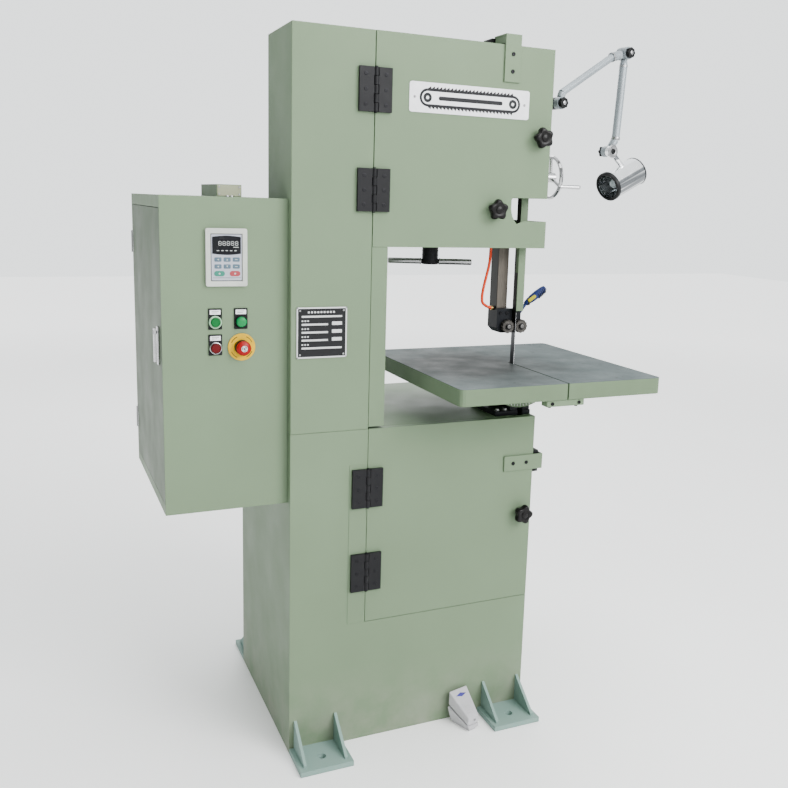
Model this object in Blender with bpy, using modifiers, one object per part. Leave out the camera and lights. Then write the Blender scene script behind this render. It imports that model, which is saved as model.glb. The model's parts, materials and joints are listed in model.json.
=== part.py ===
"""Vertical band saw: welded frame, two wheel housings with hinged doors, wheels and blade, guide post
with its blade guides, tilting table, electrical cabinet with controls, work lamp and foot switch.

Metres, +Z up. The origin is at the middle of the base's underside, +X is to the operator's right and
the machine's front faces -Y. Every solid is one closed body. A moving piece has its origin on its axis.
"""

from math import atan2, cos, pi, radians, sin, sqrt

import bmesh
import bpy
from mathutils import Matrix, Vector

# ---- Driving dimensions -------------------------------------------------------------------------------
WIDTH = 0.704              # base and head, left side of the column to the right side of the head
BASE_DEPTH = 0.530
HEAD_DEPTH = 0.215         # column and upper wheel housing
HEIGHT = 1.850             # floor to the top of the head
BASE_TOP = 0.874
HEAD_BOTTOM = 1.339
DOOR_OFFSET = 0.206        # left side of the column to the hinged edge of both doors
COVER_OFFSET = 0.249       # left side of the column to the throat side of the return-blade cover
LOWER_DOOR_BOTTOM = 0.341

LEFT, RIGHT = -WIDTH / 2, WIDTH / 2
FRONT, BACK = -BASE_DEPTH / 2, BASE_DEPTH / 2
HEAD_BACK = FRONT + HEAD_DEPTH
DOOR_LEFT = LEFT + DOOR_OFFSET
COVER_RIGHT = LEFT + COVER_OFFSET

GAP = 0.0004               # clearance between pieces that rest on each other
SHEET = 0.004              # folded sheet of the frame
DOOR_SHEET = 0.003
DOOR_PAN = 0.022           # depth of a door's folded edge
DOOR_JAMB = FRONT + 0.0245  # front of the housings behind the doors
DOOR_CLEAR = 0.0015

# Wheels and blade: the blade runs straight down at BLADE_X and comes back up inside the column.
BLADE_X = LEFT + 0.672
RETURN_X = LEFT + 0.228
BLADE_Y = FRONT + 0.090
BLADE_WIDTH = 0.020
BLADE_THICK = 0.0012
WHEEL_X = (BLADE_X + RETURN_X) / 2
WHEEL_RADIUS = (BLADE_X - RETURN_X) / 2 - BLADE_THICK / 2 - GAP
WHEEL_WIDTH = 0.026
UPPER_WHEEL_Z = 1.595
LOWER_WHEEL_Z = 0.605
AXLE_RADIUS = 0.0125
TENSION_Y = FRONT + 0.186
TENSION_TRAVEL = 0.020

# Guide post, which the handwheel's pinion raises and lowers.
POST_X = LEFT + 0.6405
POST_SIZE = (0.033, 0.042)
POST_Y = FRONT + 0.129
POST_TOP, POST_BOTTOM = 1.680, 1.1655
BLOCK_TOP, BLOCK_BOTTOM = 1.165, 1.097
ROLLER_Z = 1.116
ROLLER_RADIUS = 0.0198
PINION_Y = FRONT + 0.1658
PINION_Z = 1.532
PINION_RADIUS = 0.015
HANDWHEEL_X = LEFT + 0.8138
HANDWHEEL_RADIUS = 0.062

# Table, which tilts about an axis along Y through the blade at the table's top face.
TABLE_TOP = 1.0095
TABLE_THICK = 0.043
TABLE_SIDE = 0.600
TABLE_LEFT = LEFT + 0.365
TABLE_FRONT = FRONT - 0.205
TRUNNION_RADIUS = 0.115

# Electrical cabinet on the column's left side.
CABINET = ((LEFT - 0.300, FRONT + 0.025, 0.691), (LEFT - GAP, FRONT + 0.546, 1.450))
CABINET_FRONT = CABINET[0][1]
CABINET_SHEET = 0.003

# Drive.
DRIVE_Y = FRONT + 0.292
MOTOR_X, MOTOR_Z = LEFT + 0.215, 0.150
DRIVEN_RADIUS, DRIVER_RADIUS = 0.125, 0.045
BELT_THICK, BELT_WIDTH = 0.008, 0.012

# Work lamp: its two arms and head lie in one upright plane, turned back from the machine's right side.
LAMP_BASE = (LEFT + 0.781, FRONT + 0.100, 1.730)
LAMP_PLANE = radians(12)
LAMP_ELBOW = (0.255, 0.160)     # along the plane and up, from the lamp's base joint
LAMP_WRIST = (0.2165, -0.117)
LAMP_FACE = (0.223, -0.218)
LAMP_PITCH = radians(-23.5)     # of the beam, below level and back towards the blade
LAMP_LENGTH, LAMP_RADIUS = 0.135, 0.042

# ---- Materials: name -> (colour, roughness, metallic) -------------------------------------------------
PAINTS = {
    "green_paint": ((0.36, 0.42, 0.34), 0.45, 0.0),
    "cast_iron": ((0.30, 0.31, 0.31), 0.45, 1.0),
    "bare_steel": ((0.42, 0.39, 0.36), 0.40, 1.0),
    "blade_steel": ((0.20, 0.20, 0.21), 0.35, 1.0),
    "black_steel": ((0.03, 0.03, 0.032), 0.45, 0.6),
    "chrome": ((0.80, 0.80, 0.81), 0.10, 1.0),
    "aluminium": ((0.62, 0.64, 0.66), 0.35, 1.0),
    "black_plastic": ((0.025, 0.025, 0.027), 0.5, 0.0),
    "white_plate": ((0.86, 0.86, 0.87), 0.35, 0.0),
    "grey_plastic": ((0.74, 0.75, 0.72), 0.5, 0.0),
    "red_plastic": ((0.62, 0.03, 0.03), 0.3, 0.0),
    "green_plastic": ((0.02, 0.42, 0.17), 0.3, 0.0),
    "yellow_plastic": ((0.90, 0.62, 0.03), 0.4, 0.0),
    "blue_plastic": ((0.03, 0.06, 0.22), 0.4, 0.0),
    "red_hose": ((0.75, 0.14, 0.07), 0.4, 0.0),
    "rubber": ((0.02, 0.02, 0.02), 0.8, 0.0),
}

PARTS = bpy.data.collections.new("band_saw")
CUTTERS = bpy.data.collections.new("cutters")


def clear_scene():
    for obj in list(bpy.data.objects):
        bpy.data.objects.remove(obj)
    for collection in (PARTS, CUTTERS):
        bpy.context.scene.collection.children.link(collection)


def material(name):
    """The Principled material of this name, made at its first use."""
    if name in bpy.data.materials:
        return bpy.data.materials[name]
    colour, roughness, metallic = PAINTS[name]
    made = bpy.data.materials.new(name)
    made.use_nodes = True
    shader = made.node_tree.nodes["Principled BSDF"]
    shader.inputs["Base Color"].default_value = (*colour, 1.0)
    shader.inputs["Roughness"].default_value = roughness
    shader.inputs["Metallic"].default_value = metallic
    return made


# ---- Shapes -------------------------------------------------------------------------------------------
def mesh_object(bm, name="shape"):
    """A helper object from a bmesh, hidden until it is made a part."""
    mesh = bpy.data.meshes.new(name)
    bm.to_mesh(mesh)
    bm.free()
    obj = bpy.data.objects.new(name, mesh)
    obj.hide_render = True
    obj.display_type = "WIRE"
    CUTTERS.objects.link(obj)
    return obj


def box(low, high):
    bm = bmesh.new()
    bmesh.ops.create_cube(bm, size=1.0)
    size = Vector(high) - Vector(low)
    bmesh.ops.scale(bm, vec=size, verts=bm.verts)
    bmesh.ops.translate(bm, vec=(Vector(low) + Vector(high)) / 2, verts=bm.verts)
    return mesh_object(bm)


def turned_to(direction):
    """The rotation that takes +Z to this direction."""
    return Vector((0, 0, 1)).rotation_difference(Vector(direction).normalized()).to_matrix().to_4x4()


def rod(start, end, radius, sides=24, end_radius=None):
    """A cylinder, or a cone, from start to end."""
    start, end = Vector(start), Vector(end)
    bm = bmesh.new()
    bmesh.ops.create_cone(
        bm, cap_ends=True, segments=sides, radius1=radius,
        radius2=radius if end_radius is None else end_radius, depth=(end - start).length,
    )
    place = Matrix.Translation((start + end) / 2) @ turned_to(end - start)
    bmesh.ops.transform(bm, matrix=place, verts=bm.verts)
    return mesh_object(bm)


def turned(profile, centre, direction, steps=32):
    """A profile of (radius, height) points turned about an axis. It runs down its outer side."""
    bm = bmesh.new()
    points = [bm.verts.new((radius, 0, height)) for radius, height in profile]
    for first, second in zip(points, points[1:]):
        bm.edges.new((first, second))
    if profile[0][0] > 0:
        bm.edges.new((points[-1], points[0]))
    obj = mesh_object(bm)
    screw = obj.modifiers.new("turn", "SCREW")
    screw.steps = screw.render_steps = steps
    screw.use_merge_vertices = True
    screw.merge_threshold = 0.00005
    obj.matrix_world = Matrix.Translation(centre) @ turned_to(direction)
    return obj


def outline(points, thick, place, hole=None):
    """A flat outline in its own XY plane, with an optional hole, made thick to both sides."""
    curve = bpy.data.curves.new("outline", "CURVE")
    curve.dimensions = "2D"
    curve.fill_mode = "BOTH"
    curve.extrude = thick / 2
    for loop in [points] + ([hole] if hole else []):
        spline = curve.splines.new("POLY")
        spline.points.add(len(loop) - 1)
        for point, (x, y) in zip(spline.points, loop):
            point.co = (x, y, 0, 1)
        spline.use_cyclic_u = True
    return meshed(curve, place)


def tube(points, radius, sides=3):
    """A round bar along a list of points, as a mesh with welded caps."""
    curve = bpy.data.curves.new("tube", "CURVE")
    curve.dimensions = "3D"
    curve.bevel_depth = radius
    curve.bevel_resolution = sides
    curve.use_fill_caps = True
    spline = curve.splines.new("POLY")
    spline.points.add(len(points) - 1)
    for point, co in zip(spline.points, points):
        point.co = (*co, 1)
    return meshed(curve, Matrix())


def ring(centre, direction, radius, wire, around):
    """A closed round ring of round wire."""
    curve = bpy.data.curves.new("ring", "CURVE")
    curve.dimensions = "3D"
    curve.bevel_depth = wire
    curve.bevel_resolution = 1
    spline = curve.splines.new("POLY")
    spline.points.add(around - 1)
    for step, point in enumerate(spline.points):
        angle = 2 * pi * step / around
        point.co = (radius * cos(angle), radius * sin(angle), 0, 1)
    spline.use_cyclic_u = True
    return meshed(curve, Matrix.Translation(centre) @ turned_to(direction))


def meshed(curve, place):
    """The mesh object of a curve, its caps welded, at this place."""
    guide = bpy.data.objects.new("guide", curve)
    CUTTERS.objects.link(guide)
    bpy.context.view_layer.update()
    graph = bpy.context.evaluated_depsgraph_get()
    mesh = bpy.data.meshes.new_from_object(guide.evaluated_get(graph))
    bpy.data.objects.remove(guide)
    bm = bmesh.new()
    bm.from_mesh(mesh)
    bpy.data.meshes.remove(mesh)
    bmesh.ops.remove_doubles(bm, verts=bm.verts, dist=0.00001)
    bmesh.ops.transform(bm, matrix=place, verts=bm.verts)
    bmesh.ops.recalc_face_normals(bm, faces=bm.faces)
    return mesh_object(bm)


def arc(centre, radius, start, end, steps):
    """Points on an arc, both ends included; the angles are in degrees."""
    turns = [radians(start + (end - start) * step / steps) for step in range(steps + 1)]
    return [(centre[0] + radius * cos(turn), centre[1] + radius * sin(turn)) for turn in turns]


def rounded(low, high, radius, steps=3):
    """The outline of a rectangle with round corners."""
    (x0, y0), (x1, y1) = low, high
    corners = ((x1, y0, -90, -1, 1), (x1, y1, 0, -1, -1), (x0, y1, 90, 1, -1), (x0, y0, 180, 1, 1))
    points = []
    for x, y, start, inward_x, inward_y in corners:
        points += arc((x + inward_x * radius, y + inward_y * radius), radius, start, start + 90, steps)
    return points


def upright(y):
    """A place for outlines drawn in X and Z: their plane is upright, facing -Y, at this y."""
    return Matrix.Translation((0, y, 0)) @ Matrix.Rotation(pi / 2, 4, "X")


def carved(shapes, holes=()):
    """One helper object: the shapes joined, with the holes taken away."""
    body = shapes[0]
    for operation, others in (("UNION", shapes[1:]), ("DIFFERENCE", holes)):
        for other in others:
            boolean = body.modifiers.new(operation.lower(), "BOOLEAN")
            boolean.operation = operation
            boolean.object = other
    bpy.context.view_layer.update()
    graph = bpy.context.evaluated_depsgraph_get()
    mesh = bpy.data.meshes.new_from_object(body.evaluated_get(graph))
    mesh.transform(body.matrix_world)
    for shape in [*shapes, *holes]:
        bpy.data.objects.remove(shape)
    bm = bmesh.new()
    bm.from_mesh(mesh)
    bpy.data.meshes.remove(mesh)
    return mesh_object(bm)


def part(name, paint, shapes, holes=(), origin=(0, 0, 0), bevel=0.0):
    """Shows the joined and carved shapes as one named part, with its origin at this point."""
    obj = carved(shapes, holes)
    obj.name = obj.data.name = name
    obj.data.transform(Matrix.Translation(-Vector(origin)))
    obj.location = origin
    obj.data.materials.clear()
    obj.data.materials.append(material(paint))
    obj.data.shade_smooth()
    obj.data.set_sharp_from_angle(angle=radians(35))
    CUTTERS.objects.unlink(obj)
    PARTS.objects.link(obj)
    obj.hide_render = False
    obj.display_type = "TEXTURED"
    if bevel:
        edge = obj.modifiers.new("edge", "BEVEL")
        edge.width = bevel
        edge.segments = 2
        edge.limit_method = "ANGLE"
        edge.angle_limit = radians(50)
    return obj


def sideways(x):
    """A place for outlines drawn in Y and Z: their plane is upright, facing +X, at this x."""
    return Matrix(((0, 0, 1, x), (1, 0, 0, 0), (0, 1, 0, 0), (0, 0, 0, 1)))


def walls(low, high, sheet, open_side=None):
    """An outer box and the box that hollows it; open_side is (axis, end) of the side with no wall."""
    inner_low = [value + sheet for value in low]
    inner_high = [value - sheet for value in high]
    if open_side:
        axis, end = open_side
        if end > 0:
            inner_high[axis] = high[axis] + sheet
        else:
            inner_low[axis] = low[axis] - sheet
    return box(low, high), box(inner_low, inner_high)


# ---- Frame --------------------------------------------------------------------------------------------
def column():
    outer, inner = walls(
        (LEFT, FRONT, BASE_TOP + GAP), (DOOR_LEFT - GAP, HEAD_BACK, HEIGHT), SHEET, (2, -1)
    )
    part("column", "green_paint", [outer], [inner], bevel=0.0015)


def foot(corner_x, wall_y, outward):
    """A bolt-down foot: a drilled floor plate and two gussets welded to the base."""
    width, reach, thick, height, gusset = 0.143, 0.112, 0.014, 0.095, 0.008
    tip_y, root_y = wall_y + outward * reach, wall_y - outward * 0.002
    plate = box((corner_x, min(tip_y, root_y), 0), (corner_x + width, max(tip_y, root_y), thick))
    shapes = [plate]
    triangle = [(root_y, thick - 0.002), (tip_y - outward * 0.016, thick - 0.002),
                (tip_y - outward * 0.016, thick + 0.006), (root_y, height)]
    for x in (corner_x + 0.016, corner_x + width - 0.016):
        shapes.append(outline(triangle, gusset, sideways(x)))
    middle = (corner_x + width / 2, wall_y + outward * 0.062)
    return shapes, rod((*middle, -0.01), (*middle, thick + 0.01), 0.011, 12)


def base_housing():
    outer, inner = walls((LEFT, FRONT, 0), (RIGHT, BACK, BASE_TOP), 0.005)
    recess = box((DOOR_LEFT, FRONT - 0.02, LOWER_DOOR_BOTTOM), (RIGHT + 0.02, DOOR_JAMB, BASE_TOP + 0.02))
    jamb = box((DOOR_LEFT - SHEET, FRONT + 0.001, 0.002), (DOOR_LEFT, HEAD_BACK - 0.001, BASE_TOP - 0.002))
    bulkhead = box(
        (LEFT + 0.002, HEAD_BACK - SHEET, 0.002), (RIGHT - 0.002, HEAD_BACK, BASE_TOP - 0.002)
    )
    hinge_plate = box((LEFT + 0.157, FRONT - 0.001, 0.343), (DOOR_LEFT - 0.003, FRONT + 0.002, 0.781))
    holes = [
        rod((WHEEL_X, HEAD_BACK - 0.03, LOWER_WHEEL_Z), (WHEEL_X, HEAD_BACK + 0.03, LOWER_WHEEL_Z), 0.037),
        rod((LEFT + 0.1, HEAD_BACK - 0.03, 0.5), (LEFT + 0.1, HEAD_BACK + 0.03, 0.5), 0.03, 16),
        box((LEFT + 0.08, BACK - 0.03, 0.125), (RIGHT - 0.08, BACK + 0.03, 0.78)),
        box((BLADE_X - 0.022, FRONT - 0.01, BASE_TOP - 0.03), (BLADE_X + 0.008, FRONT + 0.115, BASE_TOP + 0.03)),
        box((RETURN_X - 0.008, FRONT + 0.065, BASE_TOP - 0.03), (RETURN_X + 0.008, FRONT + 0.115, BASE_TOP + 0.03)),
    ]
    shapes = [jamb, bulkhead, hinge_plate]
    for corner_x in (LEFT, RIGHT - 0.143):
        for wall_y, outward in ((FRONT, -1), (BACK, 1)):
            pieces, hole = foot(corner_x, wall_y, outward)
            shapes += pieces
            holes.append(hole)
    shell = carved([outer], [inner, recess])
    part("base_housing", "green_paint", [shell, *shapes], holes)


def rear_cover():
    """A louvred panel over the opening in the base's back."""
    low, high = (LEFT + 0.06, BACK + GAP, 0.105), (RIGHT - 0.06, BACK + 0.003, 0.80)
    slots = []
    for column_x in (WHEEL_X - 0.20, WHEEL_X - 0.02):
        for row in range(6):
            z = 0.56 + row * 0.028
            slots.append(box((column_x, BACK - 0.01, z), (column_x + 0.12, BACK + 0.01, z + 0.010)))
    part("rear_cover", "green_paint", [box(low, high)], slots)


def head_housing():
    outer, inner = walls((DOOR_LEFT, DOOR_JAMB, HEAD_BOTTOM), (RIGHT, HEAD_BACK, HEIGHT), SHEET, (1, -1))
    shell = carved([outer], [inner])
    shapes = []
    holes = [
        box((LEFT + 0.570, FRONT + 0.060, HEAD_BOTTOM - 0.01), (LEFT + 0.698, FRONT + 0.160, HEAD_BOTTOM + 0.01)),
        box((RETURN_X - 0.008, FRONT + 0.065, HEAD_BOTTOM - 0.01),
            (RETURN_X + 0.008, FRONT + 0.115, HEAD_BOTTOM + 0.01)),
        rod((WHEEL_X, TENSION_Y, HEAD_BOTTOM - 0.01), (WHEEL_X, TENSION_Y, HEAD_BOTTOM + 0.01), 0.0095),
        box((RIGHT - 0.01, DOOR_JAMB - 0.01, NOTCH_BOTTOM), (RIGHT + 0.01, FRONT + 0.200, NOTCH_TOP)),
    ]
    half_x, half_y = POST_SIZE[0] / 2 + 0.0005, POST_SIZE[1] / 2 + 0.0005
    for low_z, high_z in ((HEAD_BOTTOM + 0.003, 1.400), (1.562, 1.602)):
        shapes.append(box((POST_X - 0.028, FRONT + 0.1045, low_z), (POST_X + 0.028, HEAD_BACK - 0.002, high_z)))
        holes.append(
            box((POST_X - half_x, POST_Y - half_y, low_z - 0.02), (POST_X + half_x, POST_Y + half_y, high_z + 0.02))
        )
    for side in (-1, 1):
        rail_x = WHEEL_X + side * 0.0685
        shapes.append(box((rail_x - 0.007, FRONT + 0.186, 1.45), (rail_x + 0.007, HEAD_BACK - 0.002, 1.75)))
    shapes.append(rod((RIGHT - 0.003, PINION_Y, PINION_Z), (RIGHT + 0.060, PINION_Y, PINION_Z), 0.018))
    holes.append(rod((RIGHT - 0.03, PINION_Y, PINION_Z), (RIGHT + 0.09, PINION_Y, PINION_Z), 0.0088))
    part("head_housing", "green_paint", [shell, *shapes], holes)


def return_blade_cover():
    """The folded channel on the column's throat side that the blade comes back up in."""
    low = (DOOR_LEFT + GAP, FRONT, BASE_TOP + 0.006)
    high = (COVER_RIGHT, HEAD_BACK, HEAD_BOTTOM - GAP)
    outer, inner = walls(low, high, 0.003, (0, -1))
    through = box(
        (low[0] - 0.01, low[1] + 0.003, low[2] - 0.01), (high[0] - 0.003, high[1] - 0.003, high[2] + 0.01)
    )
    part("return_blade_cover", "green_paint", [outer], [inner, through], bevel=0.0008)


# ---- Doors --------------------------------------------------------------------------------------------
PIN_Y = FRONT - 0.0068
HINGE_HEIGHT = 0.104
HINGE_SPOTS = {"upper_top": 1.713, "upper_bottom": 1.477, "lower_top": 0.717, "lower_bottom": 0.486}
NOTCH_LEFT, NOTCH_TOP, NOTCH_BOTTOM = LEFT + 0.595, 1.470, 1.410


def door_pan(low_z, high_z):
    low, high = (DOOR_LEFT + DOOR_CLEAR, FRONT, low_z), (RIGHT, FRONT + DOOR_PAN, high_z)
    return walls(low, high, DOOR_SHEET, (1, 1))


def stud_hole(x, z):
    return rod((x, FRONT - 0.01, z), (x, FRONT + 0.01, z), 0.0048, 12)


def upper_door():
    outer, inner = door_pan(HEAD_BOTTOM, HEIGHT)
    past = RIGHT + 0.02
    notch = arc((NOTCH_LEFT + 0.008, NOTCH_TOP - 0.008), 0.008, 90, 180, 3)
    notch += arc((NOTCH_LEFT + 0.062, NOTCH_BOTTOM + 0.036), 0.062, 185, 225, 4)
    notch += [(NOTCH_LEFT + 0.040, NOTCH_BOTTOM), (past, NOTCH_BOTTOM), (past, NOTCH_TOP)]
    cut = outline(notch, 0.06, upright(FRONT))
    holes = [inner, cut, stud_hole(*KNOBS["upper"]), stud_hole(*KNOBS["middle"])]
    part("upper_door", "green_paint", [outer], holes, origin=(DOOR_LEFT, PIN_Y, 0))


def lower_door():
    outer, inner = door_pan(LOWER_DOOR_BOTTOM + DOOR_CLEAR, BASE_TOP)
    holes = [inner, stud_hole(*KNOBS["lower"])]
    part("lower_door", "green_paint", [outer], holes, origin=(DOOR_LEFT, PIN_Y, 0))


def knuckles(middle_z, turns):
    """Square-backed hinge knuckles around the pin, at these positions counted up from the bottom of five."""
    pitch = HINGE_HEIGHT / 5
    made = []
    for turn in turns:
        low_z = middle_z - HINGE_HEIGHT / 2 + turn * pitch + 0.0006
        made.append(rod((DOOR_LEFT, PIN_Y, low_z), (DOOR_LEFT, PIN_Y, low_z + pitch - 0.0012), 0.0062, 16))
    return made


def hinge(name, middle_z):
    """A two-leaf hinge: the frame leaf holds the pin and three knuckles, the door leaf holds two."""
    low_z, high_z = middle_z - HINGE_HEIGHT / 2, middle_z + HINGE_HEIGHT / 2
    back_y, face_y = FRONT - 0.0014, FRONT - 0.0095
    pitch = HINGE_HEIGHT / 5
    frame_leaf = box((DOOR_LEFT - 0.043, face_y, low_z), (DOOR_LEFT - 0.0068, back_y, high_z))
    door_leaf = box((DOOR_LEFT + 0.0068, face_y, low_z), (DOOR_LEFT + 0.041, back_y, high_z))
    frame_shapes, door_shapes = [frame_leaf], [door_leaf]
    for turn, knuckle in zip((0, 2, 4, 1, 3), knuckles(middle_z, (0, 2, 4, 1, 3))):
        z = low_z + turn * pitch + 0.0006
        side, shapes = (-1, frame_shapes) if turn % 2 == 0 else (1, door_shapes)
        ends = sorted((DOOR_LEFT, DOOR_LEFT + side * 0.009))
        shapes += [knuckle, box((ends[0], face_y, z), (ends[1], PIN_Y + 0.003, z + pitch - 0.0012))]
    pin = rod((DOOR_LEFT, PIN_Y, low_z + 0.002), (DOOR_LEFT, PIN_Y, high_z - 0.002), 0.0025, 12)
    bore = rod((DOOR_LEFT, PIN_Y, low_z - 0.01), (DOOR_LEFT, PIN_Y, high_z + 0.01), 0.0029, 12)
    axis = (DOOR_LEFT, PIN_Y, middle_z)
    part(f"{name}_hinge_frame_leaf", "black_plastic", [*frame_shapes, pin], origin=axis)
    part(f"{name}_hinge_door_leaf", "black_plastic", door_shapes, [bore], origin=axis)


KNOBS = {"upper": (LEFT + 0.669, 1.625), "middle": (LEFT + 0.544, 1.438), "lower": (LEFT + 0.669, 0.597)}
KNOB_TURNS = {"upper": radians(35), "middle": radians(20), "lower": radians(1)}


def star_knob(name, x, z):
    """A five-lobed knob on a short stud."""
    radius, lobes, lift = 0.0245, 5, 0.003
    star = []
    for step in range(lobes * 6):
        angle = 2 * pi * step / (lobes * 6)
        reach = radius + lift * cos(lobes * (angle - KNOB_TURNS[name]))
        star.append((reach * cos(angle), reach * sin(angle)))
    grip = outline(star, 0.020, Matrix.Translation((x, 0, z)) @ upright(FRONT - 0.024))
    hub = rod((x, FRONT - GAP, z), (x, FRONT - 0.018, z), 0.013, 20)
    stud = rod((x, FRONT - 0.010, z), (x, FRONT + 0.019, z), 0.004, 12)
    part(f"{name}_knob", "black_plastic", [grip, hub, stud], origin=(x, FRONT, z))


def interlock_brackets():
    """Folded straps on the doors, which reach the door switches."""
    left, right = LEFT + 0.5545, LEFT + 0.600
    fold = [
        (FRONT - 0.005, 1.759), (FRONT - GAP, 1.759), (FRONT - GAP, HEIGHT + 0.022),
        (FRONT + 0.058, HEIGHT + 0.022), (FRONT + 0.058, HEIGHT + 0.026), (FRONT - 0.005, HEIGHT + 0.026),
    ]
    strap = outline(fold, right - left, sideways((left + right) / 2))
    cheek = box((left + 0.001, FRONT - 0.003, HEIGHT + 0.004), (left + 0.005, FRONT + 0.054, HEIGHT + 0.024))
    part("upper_interlock_bracket", "green_paint", [strap, cheek])
    left, right = LEFT + 0.610, RIGHT + 0.028
    strap = box((left, FRONT - 0.005, 0.722), (right, FRONT - GAP, 0.765))
    wrap = box((right - 0.004, FRONT - 0.004, 0.722), (right, FRONT + 0.032, 0.765))
    part("lower_interlock_bracket", "green_paint", [strap, wrap], bevel=0.0008)


def plates():
    place = upright(FRONT - 0.0012)
    name_plate = outline(rounded((LEFT + 0.295, 1.669), (LEFT + 0.632, 1.741), 0.006), 0.0015, place)
    part("name_plate", "white_plate", [name_plate])
    data = outline(rounded((LEFT + 0.014, 1.066), (LEFT + 0.143, 1.192), 0.004, 2), 0.0015, place)
    part("data_plate", "black_plastic", [data])


# ---- Wheels, blade and drive --------------------------------------------------------------------------
def wheel(name, z):
    """A cast wheel with a rubber-faced rim, five lightening holes and a plain bore."""
    rim, inner, web, hub = WHEEL_WIDTH / 2, WHEEL_RADIUS - 0.022, 0.004, 0.034
    bore = AXLE_RADIUS + GAP
    profile = [
        (bore, 0.018), (hub, 0.018), (hub, web), (inner, web), (inner, rim), (WHEEL_RADIUS, rim),
        (WHEEL_RADIUS, -rim), (inner, -rim), (inner, -web), (hub, -web), (hub, -0.020), (bore, -0.020),
    ]
    centre = (WHEEL_X, BLADE_Y, z)
    disc = turned(profile, centre, (0, -1, 0), 40)
    holes = []
    for turn in range(5):
        angle = 2 * pi * turn / 5 + pi / 2
        x, hole_z = WHEEL_X + 0.118 * cos(angle), z + 0.118 * sin(angle)
        holes.append(rod((x, BLADE_Y - 0.02, hole_z), (x, BLADE_Y + 0.02, hole_z), 0.040, 14))
    part(name, "cast_iron", [disc], holes, origin=centre)


def blade():
    """The closed saw band around both wheels."""
    def loop(radius):
        upper = arc((WHEEL_X, UPPER_WHEEL_Z), radius, 0, 180, 32)
        return upper + arc((WHEEL_X, LOWER_WHEEL_Z), radius, 180, 360, 32)

    inner = (BLADE_X - RETURN_X) / 2 - BLADE_THICK / 2
    band = outline(loop(inner + BLADE_THICK), BLADE_WIDTH, upright(BLADE_Y), hole=loop(inner))
    part("blade", "blade_steel", [band])


def wheel_carriage():
    """The slide that carries the upper wheel's axle, with a threaded bore for the tension screw."""
    block = box((WHEEL_X - 0.061, FRONT + 0.120, 1.510), (WHEEL_X + 0.061, HEAD_BACK - 0.0055, 1.690))
    axle = rod((WHEEL_X, FRONT + 0.064, UPPER_WHEEL_Z), (WHEEL_X, FRONT + 0.130, UPPER_WHEEL_Z), AXLE_RADIUS)
    cap = rod((WHEEL_X, FRONT + 0.064, UPPER_WHEEL_Z), (WHEEL_X, FRONT + 0.0705, UPPER_WHEEL_Z), 0.020, 20)
    bore = rod((WHEEL_X, TENSION_Y, 1.48), (WHEEL_X, TENSION_Y, 1.63), 0.0086, 20)
    part("wheel_carriage", "cast_iron", [block, axle, cap], [bore], origin=(WHEEL_X, TENSION_Y, UPPER_WHEEL_Z))


def tension_handle():
    """The tension screw with its black hub and cross bar under the head."""
    hub = rod((WHEEL_X, TENSION_Y, 1.283), (WHEEL_X, TENSION_Y, 1.330), 0.0225)
    collar = rod((WHEEL_X, TENSION_Y, 1.329), (WHEEL_X, TENSION_Y, HEAD_BOTTOM - GAP), 0.014)
    screw = rod((WHEEL_X, TENSION_Y, 1.300), (WHEEL_X, TENSION_Y, 1.585), 0.008, 20)
    reach = Vector((0.109, -0.040, 0))
    middle = Vector((WHEEL_X, TENSION_Y, 1.291))
    bar = rod(middle - reach, middle + reach, 0.007, 16)
    part("tension_handle", "black_steel", [hub, collar, screw, bar], origin=(WHEEL_X, TENSION_Y, 1.300))


def pulley_profile(radius, half, bore):
    """Half of a flanged belt pulley's section, from the outer end to the inner end."""
    groove, lip = BELT_WIDTH / 2 + 0.0008, radius + 0.006
    return [(bore, half), (lip, half), (lip, groove), (radius, groove), (radius, -groove), (lip, -groove),
            (lip, -half), (bore, -half)]


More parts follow.
